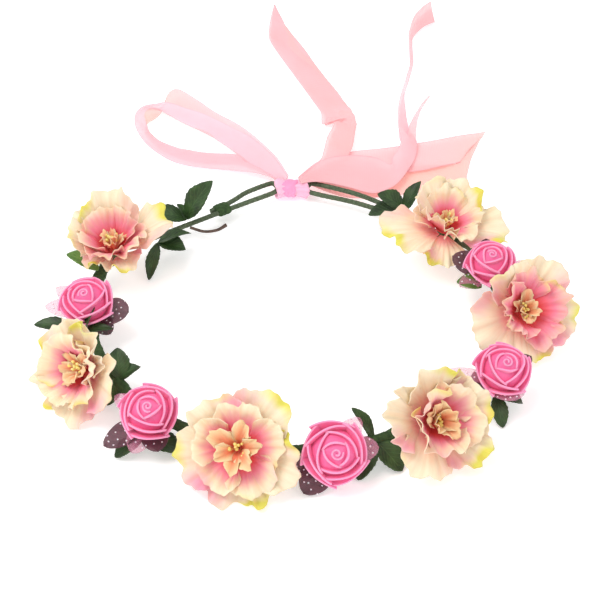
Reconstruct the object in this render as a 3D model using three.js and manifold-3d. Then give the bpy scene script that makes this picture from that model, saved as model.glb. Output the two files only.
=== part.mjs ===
// Flower crown, lying on a table with its bow spread out behind it.
//
// A paper-covered wire makes the ring. Six silk blossoms, five foam roses and eleven leaf
// sprigs are taped along its front and sides. At the back the wire is folded into two
// hairpin loops, and a ribbon bow is tied through them.
//
// Millimetres, +Z up. The front of the crown faces -Y. A turn is an angle round the ring in
// degrees, 0 at the front and growing towards +X. A heading is a compass direction counted
// the same way, and a rise is an angle above the table.

import * as THREE from 'three';
import { mergeVertices } from 'three/addons/utils/BufferGeometryUtils.js';
import Module from 'manifold-3d';

const wasm = await Module();
wasm.setup();
const { Manifold, Mesh: SolidMesh } = wasm;

// ---------------------------------------------------------------- driving dimensions

const FIT_GAP = 0.3; // between pieces that touch on the real crown

// Wire ring
const RING_HALF_WIDTH = 97;
const RING_HALF_DEPTH = 100;
const RING_HEIGHT = 10; // wire centre above the table
const RING_END_TURN = 112; // where each side leaves the round and runs to the knot
const WIRE_DIAMETER = 2.6;
const WIRE_SIDES = 6;
const RING_STEPS = 52;
const RING_PATH_STEP = 8; // degrees between points of the ring's path
const RUN_STATION = 0.25; // point of the ring's path on each straight run
const RUN_BOW = { left: 1, right: 7 }; // how far each straight run bows outwards

// Hairpin loops at the ends of the wire
const LOOP_WIDTH = 8; // between wire centres, beside the knot
const LOOP_CLOSE = 3.4; // between wire centres, in the collar
const LOOP_STEPS = 30;
const LOOP_SETBACK = 2; // the inner strand's run ends this far beyond the loop's tip
const COLLAR_ALONG = { left: 0.69, right: 0.5 }; // place on the run, 0 at the ring end
const COLLAR_LENGTH = 7;
const COLLAR_WALL = 0.9;
const STRAND_OVERLAP = 0.02; // the ring's strand reaches this much past the collar's middle

// Path of a hairpin loop: places between the collar and the tip, then points beside the tip,
// each by its distance beyond the tip and its share of half the loop's width, then the strand
// that comes back, each by its place and its distance outside as a share of the loop's width.
const LOOP_STRAND_OUT = [0.5, 0.9];
const LOOP_BEND = [[1, -0.7], [0, 0], [1, 0.7], [4, 1]];
const LOOP_STRAND_BACK = [[0.64, 0.95], [0.32, 0.65]];
const LOOP_TUCK = { out: 0.04, back: 0.06 }; // each strand starts this far short of the collar

// Floral tape
const TAPE_WALL = 0.9;
const TAPE_TURN = 108;
const TAPE_STEPS = 40;
const TAPE_PATH_STEP = 6; // degrees between points of the tape's path
const TAPE_SLACK = 0.1; // extra room in the bore, where the path bends

// Blossoms
const PETAL_THICKNESS = 1;
const BLOSSOM_RADIUS = 27;
const BLOSSOM_CUP = 8.5; // rise of the outer petals from hub to rim
const BLOSSOM_CALYX_TOP = 7.5;
const BLOSSOM_CALYX_RADIUS = 4;
const OUTER_SEGMENTS = 20;
const INNER_RADIUS = 17;
const INNER_CUP = 11;
const INNER_SEGMENTS = 15;
const LAYER_SLACK = 0.2; // extra gap between the petal layers, where they are steep
const PEG_RADIUS = 1.2;
const PEG_SIDES = 10;
const PEG_TOP = 1.5; // the peg stands out of the inner petals by this much
const STAMEN_RADIUS = 4.6;
const STAMEN_HEIGHT = 13; // from the calyx top to the anthers
const STAMEN_SHOULDER = 3; // widest place of the cluster, below its top
const STAMEN_TOP_SHARE = 0.7; // the top's radius as a share of the widest
const PETAL_LOBES = 5;
const LOBE_DEPTH = 0.18;
const LOBE_ONSET = 3; // power of the radius with which the lobes set in
const DISH_BREAK = 0.55; // place of the dish's bend, as a share of the radius
const DISH_POWER = 1.4;

// Stems and calyxes
const STEM_RADIUS = 1.6;
const STEM_OFFSET = 1.5; // stem centre beside the wire's centre
const CALYX_WAIST_RADIUS = 0.6; // as shares of the calyx top's radius and height
const CALYX_WAIST_HEIGHT = 0.45;
const SEAT_SLACK = 0.1; // extra gap between a calyx and the layer that it carries

// Foam roses
const ROSE_RADIUS = 14;
const ROSE_HEIGHT = 15.5;
const ROSE_SIDES = 14;
const ROSE_NECK = 0.6; // height of the foot's bevel
const ROSE_FOOT_RADIUS = 0.34; // these are shares of the rose's radius and height
const ROSE_BELLY = [0.8, 0.27];
const ROSE_WIDEST = 0.58;
const ROSE_SHOULDER = [0.86, 0.86];
const ROSE_TOP_RADIUS = 0.5;
const ROSE_CALYX_TOP = 5.2;
const ROSE_CALYX_RADIUS = 3.2;
const TULLE_RADIUS = 20;
const TULLE_CUP = 3.6;
const TULLE_THICKNESS = 0.8;
const TULLE_SEGMENTS = 10;

// Leaves
const LEAF_THICKNESS = 1;
const SPRIG_NODE_RADIUS = 1.4;
const LEAF_OUTLINE = [[0, 0.16], [0.25, 0.8], [0.5, 1], [0.78, 0.7], [1, 0.08]]; // [along, half width]

// Bare stem end: its start on the left run, its bends from there, its radius
const STEM_END_START = { along: 0.46, out: -2.6 };
const STEM_END_BENDS = [[7, -1.4, -1.5], [13.5, -0.2, -1.5], [18, 2.6, -0.5]];
const STEM_END_RADIUS = 0.8;
const STEM_END_STEPS = 8;

// Ribbon
const KNOT_LENGTH = 12;
const KNOT_RADIUS = 6;
const KNOT_SHIFT = -2; // the knot is a little off the middle
const KNOT_INSET = 2; // knot centre inside the ring's half depth
const KNOT_END_RADIUS = 0.62; // share of the knot's radius at its ends
const KNOT_BARREL = 0.2; // share of the knot's length, each way, that has its full radius
const KNOT_SIDES = 16;
const RIBBON_THICKNESS = 1.2;
const LOOP_OUTLINE_STEPS = 20;
const LOOP_EYE_STEPS = 12;

// ---------------------------------------------------------------- flowers and leaves

// out: place of the stem outside the wire. facing and rise: where the flower looks.
const BLOSSOMS = [
  { turn: -107.5, out: -8, facing: -80, rise: 78, size: 1.0 },
  { turn: -62, out: 2.5, facing: -48, rise: 33, size: 1.0 },
  { turn: -13.5, out: 0, facing: -12, rise: 38, size: 1.04 },
  { turn: 35, out: -1, facing: 30, rise: 38, size: 1.04 },
  { turn: 85.5, out: 5, facing: 22, rise: 46, size: 1.0 },
  { turn: 122, out: -13, facing: 40, rise: 80, size: 0.96 },
];

const ROSES = [
  { turn: -85, out: -1, facing: -20, rise: 69, size: 1.0 },
  { turn: -39, out: 5, facing: 0, rise: 61, size: 1.0 },
  { turn: 9, out: 2, facing: 6, rise: 41, size: 1.1 },
  { turn: 59.5, out: 9, facing: 15, rise: 66, size: 1.0 },
  { turn: 102, out: -2, facing: 0, rise: 72, size: 0.95 },
];

// Each leaf: heading, rise, length, width.
const SPRIGS = [
  { run: 'left', along: 0.46, out: 0, up: 3.8,
    leaves: [[95, 63, 25, 8.5], [-85, 20, 18, 7], [-112, 60, 9, 5]] },
  { run: 'left', along: 0.24, out: -5.8, up: 1,
    leaves: [[105, 13, 17, 8], [79, -4, 14, 9], [-11, -17, 28, 5]] },
  { turn: -102, out: 0.3, up: 4, leaves: [[-110, 23, 15, 8]] },
  { turn: -76.8, out: 6, up: 2, leaves: [[-102, 11, 22, 6.5], [124, 75, 17, 5], [85, 21, 16, 5]] },
  { turn: -56, out: -0.5, up: 2, leaves: [[-174, 47, 14, 8], [107, 32, 11, 6.5], [-32, -31, 13, 8]] },
  { turn: -37.5, out: 14.4, up: -3, leaves: [[-67, -16, 14, 6], [87, -14, 21, 12]] },
  { turn: 20.5, out: 0, up: 0, leaves: [[-116, 61, 18, 5], [-23, -23, 20, 9], [51, -26, 19, 10]] },
  { turn: 56.3, out: 11.2, up: -2, leaves: [[10, -21, 17, 5.5], [82, -9, 13, 7]] },
  { turn: 122.5, out: -0.9, up: 2, leaves: [[-23, -27, 15, 7], [-62, -19, 12, 6]] },
  { turn: 96.3, out: -7.7, up: 2, leaves: [[-103, 9, 12, 7]] },
  { run: 'right', along: 0.48, out: 0, up: 3.9,
    leaves: [[-83, 3, 18, 9], [-105, 38, 16, 8], [133, 57, 17, 6]] },
];

// Ribbon outlines, from the knot's centre.
const LEFT_LOOP_OUTLINE = [
  [-3, 8], [-13, 44], [-44, 76], [-63, 95], [-84, 70], [-75, 41], [-38, 20], [-9, 8],
];
const LEFT_LOOP_EYE = [[-32, 40], [-58, 61], [-72, 68], [-76, 56], [-58, 39]];
const RIGHT_LOOP_OUTLINE = [[8, 9], [31, 38], [102, 55], [94, 31], [88, 15], [46, 5], [15, 4]];
const LEFT_TAIL_OUTLINE = [
  [4, 9], [15, 30], [20, 56], [14, 66], [4, 102], [-12, 141], [-12, 178],
  [-9, 183], [4, 143], [23, 104], [34, 72], [31, 40], [9, 9],
];
const RIGHT_TAIL_OUTLINE = [
  [12, 7], [40, 10], [58, 30], [63, 46], [64, 64], [66, 90], [71, 123], [73, 146], [81, 168],
  [80, 189], [70, 177], [66, 146], [63, 123], [58, 90], [57, 62], [55, 44], [50, 33], [36, 18],
  [12, 12],
];

const COLOURS = {
  wire: 0x4e6b50,
  tape: 0x41583a,
  calyx: 0x55702f,
  outerPetal: 0xfbe3c2,
  innerPetal: 0xf59aa0,
  stamen: 0xf2d76b,
  rose: 0xf77fb0,
  tulle: 0xc9839c,
  leaf: 0x35512f,
  stem: 0x5a4334,
  ribbon: 0xfbd0d8,
  knot: 0xf98fc4,
};

// ---------------------------------------------------------------- small helpers

const UP = new THREE.Vector3(0, 0, 1);
const rad = THREE.MathUtils.degToRad;

function heading(degrees) {
  return new THREE.Vector3(Math.sin(rad(degrees)), -Math.cos(rad(degrees)), 0);
}

function direction(degrees, rise) {
  return heading(degrees).multiplyScalar(Math.cos(rad(rise))).addScaledVector(UP, Math.sin(rad(rise)));
}

// Point on the ring's round, moved outwards along its normal.
function ringPoint(turn, out = 0, up = 0) {
  const sin = Math.sin(rad(turn));
  const cos = Math.cos(rad(turn));
  const normal = new THREE.Vector3(sin / RING_HALF_WIDTH, -cos / RING_HALF_DEPTH, 0).normalize();
  const centre = new THREE.Vector3(RING_HALF_WIDTH * sin, -RING_HALF_DEPTH * cos, RING_HEIGHT + up);
  return centre.addScaledVector(normal, out);
}

const KNOT = new THREE.Vector3(KNOT_SHIFT, RING_HALF_DEPTH - KNOT_INSET, KNOT_RADIUS);

const SIDES = {
  left: { sign: -1, bow: RUN_BOW.left },
  right: { sign: 1, bow: RUN_BOW.right },
};

// Where a hairpin loop turns, beside the knot.
function loopTip(side) {
  const reach = KNOT_LENGTH / 2 + WIRE_DIAMETER / 2 + FIT_GAP;
  return KNOT.clone().add(new THREE.Vector3(SIDES[side].sign * reach, 0, 0));
}

// Point on the inner strand's run from the ring's end to the loop beside the knot.
function runPoint(side, along, out = 0, up = 0) {
  const { sign, bow } = SIDES[side];
  const start = ringPoint(sign * RING_END_TURN);
  const end = loopTip(side).add(new THREE.Vector3(sign * LOOP_SETBACK, -LOOP_WIDTH / 2, 0));
  const run = end.clone().sub(start);
  const outward = new THREE.Vector3(-run.y, run.x, 0).normalize();
  if (outward.y < 0) outward.negate();
  const swell = bow * Math.sin(Math.PI * along) + out;
  return start.addScaledVector(run, along).addScaledVector(outward, swell).addScaledVector(UP, up);
}

function polygon(radius, sides) {
  const corners = [];
  for (let i = 0; i < sides; i += 1) {
    const angle = (2 * Math.PI * i) / sides;
    corners.push(new THREE.Vector2(radius * Math.cos(angle), radius * Math.sin(angle)));
  }
  return corners;
}

// Closed solid from a closed geometry, with its faces turned outwards.
function solidOf(geometry) {
  geometry.deleteAttribute('normal');
  geometry.deleteAttribute('uv');
  const merged = mergeVertices(geometry, 1e-4);
  const triVerts = Uint32Array.from(merged.index.array);
  const vertProperties = Float32Array.from(merged.attributes.position.array);
  const solid = new Manifold(new SolidMesh({ numProp: 3, vertProperties, triVerts }));
  if (solid.volume() > 0) return solid;
  for (let i = 0; i < triVerts.length; i += 3) {
    [triVerts[i + 1], triVerts[i + 2]] = [triVerts[i + 2], triVerts[i + 1]];
  }
  return new Manifold(new SolidMesh({ numProp: 3, vertProperties, triVerts }));
}

function tube(path, radius, steps, boreRadius = 0) {
  const section = new THREE.Shape(polygon(radius, WIRE_SIDES));
  if (boreRadius > 0) section.holes.push(new THREE.Path(polygon(boreRadius, WIRE_SIDES).reverse()));
  return solidOf(new THREE.ExtrudeGeometry(section, { steps, extrudePath: path, bevelEnabled: false }));
}

// Turned solid about +Z from a profile of [radius, height] points.
function turned(profile, segments) {
  const points = profile.map(([radius, height]) => new THREE.Vector2(radius, height));
  return new THREE.LatheGeometry(points, segments).rotateX(Math.PI / 2);
}

function hullOf(points) {
  return Manifold.hull(points.map((p) => [p.x, p.y, p.z]));
}

function boxesMeet(a, b) {
  const p = a.boundingBox();
  const q = b.boundingBox();
  return [0, 1, 2].every((k) => p.min[k] < q.max[k] && q.min[k] < p.max[k]);
}

// The biggest piece of a solid that is left when its neighbours' room is taken away.
function clearOf(solid, neighbours) {
  let rest = solid;
  for (const other of neighbours) {
    if (boxesMeet(rest, other)) rest = rest.subtract(other);
  }
  const parts = rest.decompose();
  return parts.reduce((best, part) => (part.volume() > best.volume() ? part : best));
}

const aboveTable = (solid) => solid.trimByPlane([0, 0, 1], 0);

const crown = new THREE.Group();
const keepOut = []; // each finished piece's room, with its fit gap

function addPiece(name, solid, colour, roughness) {
  const mesh = solid.getMesh();
  const geometry = new THREE.BufferGeometry();
  geometry.setAttribute('position', new THREE.BufferAttribute(new Float32Array(mesh.vertProperties), 3));
  geometry.setIndex(new THREE.BufferAttribute(new Uint32Array(mesh.triVerts), 1));
  geometry.computeVertexNormals();
  const material = new THREE.MeshStandardMaterial({ color: colour, roughness, metalness: 0 });
  const piece = new THREE.Mesh(geometry, material);
  piece.name = name;
  crown.add(piece);
}

// Adds a piece made by make(grow), cut back from all earlier pieces.
function fitPiece(name, make, colour, roughness) {
  addPiece(name, aboveTable(clearOf(make(0), keepOut)), colour, roughness);
  keepOut.push(make(FIT_GAP));
}

// ---------------------------------------------------------------- wire, loops and tape

function ringPath() {
  const end = (side) => runPoint(side, COLLAR_ALONG[side] + STRAND_OVERLAP);
  const points = [end('left'), runPoint('left', RUN_STATION)];
  for (let turn = -RING_END_TURN; turn <= RING_END_TURN; turn += RING_PATH_STEP) {
    points.push(ringPoint(turn));
  }
  points.push(runPoint('right', RUN_STATION), end('right'));
  return new THREE.CatmullRomCurve3(points);
}

// Out along the inner strand, round beside the knot and back along the outer strand.
function loopPath(side) {
  const { sign } = SIDES[side];
  const collarAt = COLLAR_ALONG[side];
  const beyondCollar = (share, outside) => runPoint(side, collarAt + share * (1 - collarAt), outside);
  const tip = loopTip(side);
  const bend = LOOP_BEND.map(([beyond, share]) => {
    const step = new THREE.Vector3(sign * beyond, (share * LOOP_WIDTH) / 2, 0);
    return tip.clone().add(step);
  });
  return new THREE.CatmullRomCurve3([
    runPoint(side, collarAt - LOOP_TUCK.out),
    ...LOOP_STRAND_OUT.map((share) => beyondCollar(share, 0)),
    ...bend,
    ...LOOP_STRAND_BACK.map(([share, outside]) => beyondCollar(share, outside * LOOP_WIDTH)),
    runPoint(side, collarAt, LOOP_CLOSE),
    runPoint(side, collarAt - LOOP_TUCK.back, LOOP_CLOSE),
  ]);
}

const wireRadius = WIRE_DIAMETER / 2;

function wire(grow) {
  const ring = tube(ringPath(), wireRadius + grow, RING_STEPS);
  const loops = ['left', 'right'].map((side) => tube(loopPath(side), wireRadius + grow, LOOP_STEPS));
  return loops.reduce((all, loop) => all.add(loop), ring);
}

function tape(grow) {
  const points = [];
  for (let turn = -TAPE_TURN; turn <= TAPE_TURN; turn += TAPE_PATH_STEP) {
    points.push(ringPoint(turn));
  }
  const path = new THREE.CatmullRomCurve3(points);
  const bore = (wireRadius + FIT_GAP) / Math.cos(Math.PI / WIRE_SIDES) + TAPE_SLACK;
  return tube(path, bore + TAPE_WALL + grow, TAPE_STEPS, grow > 0 ? 0 : bore);
}

function collar(side, grow) {
  const reach = COLLAR_LENGTH / 2 + grow;
  const along = COLLAR_ALONG[side];
  const middle = runPoint(side, along, LOOP_CLOSE / 2);
  const run = runPoint(side, along + STRAND_OVERLAP).sub(runPoint(side, along - STRAND_OVERLAP)).normalize();
  const across = new THREE.Vector3(-run.y, run.x, 0).normalize();
  const upright = new THREE.Vector3().crossVectors(run, across);
  const radius = wireRadius + FIT_GAP + COLLAR_WALL + grow;
  const points = [];
  for (const end of [-reach, reach]) {
    for (const corner of polygon(radius, WIRE_SIDES)) {
      const strand = (Math.sign(Math.round(corner.x * 10)) * LOOP_CLOSE) / 2;
      points.push(middle.clone().addScaledVector(run, end).addScaledVector(across, corner.x + strand)
        .addScaledVector(upright, corner.y));
    }
  }
  return hullOf(points);
}

addPiece('wire_ring', wire(0), COLOURS.wire, 0.8);
keepOut.push(wire(FIT_GAP));
fitPiece('floral_tape', tape, COLOURS.tape, 0.9);
for (const side of ['left', 'right']) {
  fitPiece(`tape_collar_${side}`, (grow) => collar(side, grow), COLOURS.tape, 0.9);
}

// ---------------------------------------------------------------- flower heads

// Frame of a flower: origin on the wire, +Z the way it looks.
function flowerFrame({ turn, out, facing, rise, size }) {
  const axis = direction(facing, rise);
  const side = new THREE.Vector3().crossVectors(UP, axis).normalize();
  const top = new THREE.Vector3().crossVectors(axis, side);
  const frame = new THREE.Matrix4().makeBasis(side, top, axis).setPosition(ringPoint(turn, out));
  return frame.scale(new THREE.Vector3(size, size, size));
}

const PEG_HOLE = PEG_RADIUS / Math.cos(Math.PI / PEG_SIDES) + FIT_GAP;

// A round layer of joined petals: a dished sheet with a hole for the peg and a lobed rim.
function petalLayer({ start, cup, radius, thickness, segments }, grow) {
  const inner = PEG_HOLE - grow;
  const outer = radius + grow;
  const middle = radius * DISH_BREAK;
  const height = (r) => start + cup * (Math.max(r, 0) / radius) ** DISH_POWER;
  const half = thickness / 2 + grow;
  const upper = [inner, middle, outer].map((r) => [r, height(r) + half]);
  const lower = [outer, middle, inner].map((r) => [r, height(r) - half]);
  const geometry = turned([...upper, ...lower, upper[0]], segments);
  const position = geometry.attributes.position;
  for (let i = 0; i < position.count; i += 1) {
    const x = position.getX(i);
    const y = position.getY(i);
    const share = (Math.hypot(x, y) / radius) ** LOBE_ONSET;
    const dip = 0.5 - 0.5 * Math.cos(PETAL_LOBES * Math.atan2(y, x));
    const pull = 1 - LOBE_DEPTH * share * dip;
    position.setXY(i, x * pull, y * pull);
  }
  return solidOf(geometry);
}

// Stem and calyx: from beside the tape up to the flower's hub.
function calyx(flower, top, radius, grow) {
  const frame = flowerFrame(flower);
  const points = [];
  const foot = ringPoint(flower.turn, flower.out > 0 ? STEM_OFFSET : -STEM_OFFSET);
  for (const corner of polygon(STEM_RADIUS + grow, WIRE_SIDES)) {
    points.push(foot.clone().add(new THREE.Vector3(corner.x, corner.y, 0)));
  }
  for (const { x, y } of polygon(radius + grow, WIRE_SIDES)) {
    const waist = new THREE.Vector3(x, y, 0).multiplyScalar(CALYX_WAIST_RADIUS);
    waist.z = top * CALYX_WAIST_HEIGHT;
    points.push(new THREE.Vector3(x, y, top + grow).applyMatrix4(frame));
    points.push(waist.applyMatrix4(frame));
  }
  return hullOf(points);
}

const placed = (solid, flower) => solid.transform(flowerFrame(flower).elements);

const outerStart = BLOSSOM_CALYX_TOP + FIT_GAP + PETAL_THICKNESS / 2 + SEAT_SLACK;
const innerStart = outerStart + PETAL_THICKNESS + FIT_GAP + LAYER_SLACK;

const OUTER_LAYER = {
  start: outerStart,
  cup: BLOSSOM_CUP,
  radius: BLOSSOM_RADIUS,
  thickness: PETAL_THICKNESS,
  segments: OUTER_SEGMENTS,
};
const INNER_LAYER = {
  start: innerStart,
  cup: INNER_CUP,
  radius: INNER_RADIUS,
  thickness: PETAL_THICKNESS,
  segments: INNER_SEGMENTS,
};

// Peg through both petal layers, and the cluster of anthers on it.
function stamens(grow) {
  const foot = BLOSSOM_CALYX_TOP + FIT_GAP;
  const neck = innerStart + PETAL_THICKNESS + PEG_TOP;
  const top = BLOSSOM_CALYX_TOP + STAMEN_HEIGHT;
  return solidOf(turned([
    [0, foot - grow],
    [PEG_RADIUS + grow, foot - grow],
    [PEG_RADIUS + grow, neck],
    [STAMEN_RADIUS + grow, top - STAMEN_SHOULDER],
    [STAMEN_RADIUS * STAMEN_TOP_SHARE + grow, top],
    [0, top + grow],
  ], PEG_SIDES));
}

// Foam rose head: a stub through the tulle, a rounded bud and a flat crown of petals.
const tulleStart = ROSE_CALYX_TOP + FIT_GAP + TULLE_THICKNESS / 2 + SEAT_SLACK;
const roseFoot = tulleStart + TULLE_THICKNESS / 2 + FIT_GAP;

function roseHead(grow) {
  const top = roseFoot + ROSE_HEIGHT;
  return solidOf(turned([
    [0, ROSE_CALYX_TOP + FIT_GAP - grow],
    [PEG_RADIUS + grow, ROSE_CALYX_TOP + FIT_GAP - grow],
    [PEG_RADIUS + grow, roseFoot - grow],
    [ROSE_RADIUS * ROSE_FOOT_RADIUS + grow, roseFoot + ROSE_NECK - grow],
    [ROSE_RADIUS * ROSE_BELLY[0] + grow, roseFoot + ROSE_HEIGHT * ROSE_BELLY[1] - grow],
    [ROSE_RADIUS + grow, roseFoot + ROSE_HEIGHT * ROSE_WIDEST],
    [ROSE_RADIUS * ROSE_SHOULDER[0] + grow, roseFoot + ROSE_HEIGHT * ROSE_SHOULDER[1]],
    [ROSE_RADIUS * ROSE_TOP_RADIUS, top + grow],
    [0, top + grow],
  ], ROSE_SIDES));
}

const TULLE_LAYER = {
  start: tulleStart,
  cup: TULLE_CUP,
  radius: TULLE_RADIUS,
  thickness: TULLE_THICKNESS,
  segments: TULLE_SEGMENTS,
};

ROSES.forEach((rose, i) => {
  const name = `rose_${i + 1}`;
  fitPiece(`${name}_head`, (grow) => placed(roseHead(grow), rose), COLOURS.rose, 0.85);
  fitPiece(`${name}_calyx`, (grow) => calyx(rose, ROSE_CALYX_TOP, ROSE_CALYX_RADIUS, grow),
    COLOURS.calyx, 0.7);
});

BLOSSOMS.forEach((blossom, i) => {
  const name = `blossom_${i + 1}`;
  fitPiece(`${name}_stamens`, (grow) => placed(stamens(grow), blossom), COLOURS.stamen, 0.7);
  fitPiece(`${name}_calyx`,
    (grow) => calyx(blossom, BLOSSOM_CALYX_TOP, BLOSSOM_CALYX_RADIUS, grow), COLOURS.calyx, 0.7);
});

BLOSSOMS.forEach((blossom, i) => {
  const name = `blossom_${i + 1}`;
  fitPiece(`${name}_inner_petals`, (grow) => placed(petalLayer(INNER_LAYER, grow), blossom),
    COLOURS.innerPetal, 0.75);
  fitPiece(`${name}_outer_petals`, (grow) => placed(petalLayer(OUTER_LAYER, grow), blossom),
    COLOURS.outerPetal, 0.75);
});

// ---------------------------------------------------------------- leaves

function leaf(root, [turn, rise, length, width], grow) {
  const along = direction(turn, rise);
  const across = new THREE.Vector3().crossVectors(along, UP).normalize();
  const normal = new THREE.Vector3().crossVectors(across, along);
  const points = [];
  for (const [share, half] of LEAF_OUTLINE) {
    for (const side of [-1, 1]) {
      for (const face of [-1, 1]) {
        points.push(root.clone()
          .addScaledVector(along, share * (length + grow))
          .addScaledVector(across, side * ((half * width) / 2 + grow))
          .addScaledVector(normal, face * (LEAF_THICKNESS / 2 + grow)));
      }
    }
  }
  return hullOf(points);
}

function sprig(spec, grow) {
  const root = spec.run
    ? runPoint(spec.run, spec.along, spec.out, spec.up)
    : ringPoint(spec.turn, spec.out, spec.up);
  const ball = solidOf(new THREE.IcosahedronGeometry(SPRIG_NODE_RADIUS + grow, 0)).translate(root.toArray());
  return spec.leaves.reduce((all, one) => all.add(leaf(root, one, grow)), ball);
}

SPRIGS.forEach((spec, i) => {
  fitPiece(`leaf_sprig_${i + 1}`, (grow) => sprig(spec, grow), COLOURS.leaf, 0.6);
});

function stemEnd(grow) {
  const start = runPoint('left', STEM_END_START.along, STEM_END_START.out);
  const bends = STEM_END_BENDS.map((step) => start.clone().add(new THREE.Vector3(...step)));
  const path = new THREE.CatmullRomCurve3([start, ...bends]);
  return tube(path, STEM_END_RADIUS + grow, STEM_END_STEPS);
}

fitPiece('stem_end', stemEnd, COLOURS.stem, 0.8);

// ---------------------------------------------------------------- tulle, tucked in last

ROSES.forEach((rose, i) => {
  fitPiece(`rose_${i + 1}_tulle`, (grow) => placed(petalLayer(TULLE_LAYER, grow), rose),
    COLOURS.tulle, 0.6);
});

// ---------------------------------------------------------------- ribbon bow

function ribbonPlate(outline, level, eye) {
  const shape = new THREE.Shape(outline.map(([x, y]) => new THREE.Vector2(x, y)));
  if (eye) {
    const hole = new THREE.CatmullRomCurve3(eye.map(([x, y]) => new THREE.Vector3(x, y, 0)), true);
    const rim = hole.getPoints(LOOP_EYE_STEPS).slice(1);
    shape.holes.push(new THREE.Path(rim.map((p) => new THREE.Vector2(p.x, p.y))));
  }
  const depth = RIBBON_THICKNESS;
  const geometry = new THREE.ExtrudeGeometry(shape, { depth, bevelEnabled: false, curveSegments: 1 });
  return solidOf(geometry).translate([KNOT.x, KNOT.y, level]);
}

function rounded(outline) {
  const curve = new THREE.CatmullRomCurve3(outline.map(([x, y]) => new THREE.Vector3(x, y, 0)));
  return curve.getPoints(LOOP_OUTLINE_STEPS).map((p) => [p.x, p.y]);
}

const knotHalf = KNOT_LENGTH / 2;
const knotEnd = KNOT_RADIUS * KNOT_END_RADIUS;
const knotBarrel = KNOT_LENGTH * KNOT_BARREL;
const knotProfile = [
  [0, -knotHalf],
  [knotEnd, -knotHalf],
  [KNOT_RADIUS, -knotBarrel],
  [KNOT_RADIUS, knotBarrel],
  [knotEnd, knotHalf],
  [0, knotHalf],
];
const knot = solidOf(turned(knotProfile, KNOT_SIDES).rotateY(Math.PI / 2)).translate(KNOT.toArray());
addPiece('ribbon_knot', aboveTable(knot), COLOURS.knot, 0.5);

const lowerLevel = 0;
const upperLevel = RIBBON_THICKNESS + FIT_GAP;
addPiece('ribbon_left_loop', ribbonPlate(rounded(LEFT_LOOP_OUTLINE), lowerLevel, LEFT_LOOP_EYE),
  COLOURS.ribbon, 0.5);
addPiece('ribbon_right_loop', ribbonPlate(RIGHT_LOOP_OUTLINE, lowerLevel), COLOURS.ribbon, 0.5);
addPiece('ribbon_left_tail', ribbonPlate(LEFT_TAIL_OUTLINE, upperLevel), COLOURS.ribbon, 0.5);
addPiece('ribbon_right_tail', ribbonPlate(RIGHT_TAIL_OUTLINE, upperLevel), COLOURS.ribbon, 0.5);

// The origin is under the middle of the whole crown, on the table.
const box = new THREE.Box3().setFromObject(crown);
const middle = box.getCenter(new THREE.Vector3());
crown.position.set(-middle.x, -middle.y, -box.min.z);
crown.updateMatrixWorld(true);

export default crown;
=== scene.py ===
# %% [markdown]
# A flower crown of silk blossoms, foam roses, dotted net and waxed leaves on a paper-covered
# wire, tied at the back with a sheer organza bow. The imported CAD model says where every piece
# sits and how the bow swings. This script grows the real surfaces around that model.

# %% Load the frame
import math
from functools import partial

import bpy
import numpy as np
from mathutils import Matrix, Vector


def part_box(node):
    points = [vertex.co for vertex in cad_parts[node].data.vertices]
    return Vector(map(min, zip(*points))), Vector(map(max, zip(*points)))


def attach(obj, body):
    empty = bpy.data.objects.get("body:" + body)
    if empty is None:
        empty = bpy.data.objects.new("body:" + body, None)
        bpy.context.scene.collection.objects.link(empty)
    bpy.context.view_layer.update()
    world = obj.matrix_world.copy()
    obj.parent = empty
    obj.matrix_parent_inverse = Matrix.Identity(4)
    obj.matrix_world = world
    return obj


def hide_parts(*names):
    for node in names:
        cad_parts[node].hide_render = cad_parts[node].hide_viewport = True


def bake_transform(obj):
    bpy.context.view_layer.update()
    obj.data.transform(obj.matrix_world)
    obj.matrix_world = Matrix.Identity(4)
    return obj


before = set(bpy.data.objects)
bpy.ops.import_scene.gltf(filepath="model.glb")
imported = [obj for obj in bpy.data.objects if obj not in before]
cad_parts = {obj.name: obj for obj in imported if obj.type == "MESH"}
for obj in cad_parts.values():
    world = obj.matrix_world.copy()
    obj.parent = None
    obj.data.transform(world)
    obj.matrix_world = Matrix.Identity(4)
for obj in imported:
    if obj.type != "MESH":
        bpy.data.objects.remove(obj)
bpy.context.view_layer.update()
MM = 0.001
ROOT, BOW = "crown", "bow"

# %% [markdown]
# Two solids of the CAD model fix the ring: the wire gives its sides and its front, and the
# ribbon knot lies just inside its back. Everything on the ring is placed from these numbers,
# in millimetres, with angles counted from the front towards +X as a turn.

# %% Measure the ring
def box_mm(node):
    """Low and high corner of a node's box in mm."""
    low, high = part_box(node)
    return np.array(low) / MM, np.array(high) / MM


WIRE_R, TAPE_R = 1.3, 2.7
# How far in front of the ellipse's back the knot lies, and the turn where the ellipse ends.
KNOT_INSET = 2.0
RING_END_TURN = 112.0
wire_low, wire_high = box_mm("wire_ring")
knot_low, knot_high = box_mm("ribbon_knot")
tape_low, tape_high = box_mm("floral_tape")
KNOT = (knot_low + knot_high) / 2
HALF_WIDTH = (wire_high[0] - wire_low[0]) / 2 - WIRE_R
HALF_DEPTH = (KNOT[1] - wire_low[1] - WIRE_R + KNOT_INSET) / 2
CENTRE = np.array([(wire_low[0] + wire_high[0]) / 2, KNOT[1] + KNOT_INSET - HALF_DEPTH, 0.0])
RING_Z = (tape_low[2] + tape_high[2]) / 2
print("ring", round(2 * HALF_WIDTH), "x", round(2 * HALF_DEPTH), "mm, wire at", round(RING_Z, 1))


def heading(degrees, rise=0.0):
    """Unit vector at a compass angle from -Y towards +X, lifted by rise degrees."""
    a, b = math.radians(degrees), math.radians(rise)
    return np.array([math.sin(a) * math.cos(b), -math.cos(a) * math.cos(b), math.sin(b)])


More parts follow.
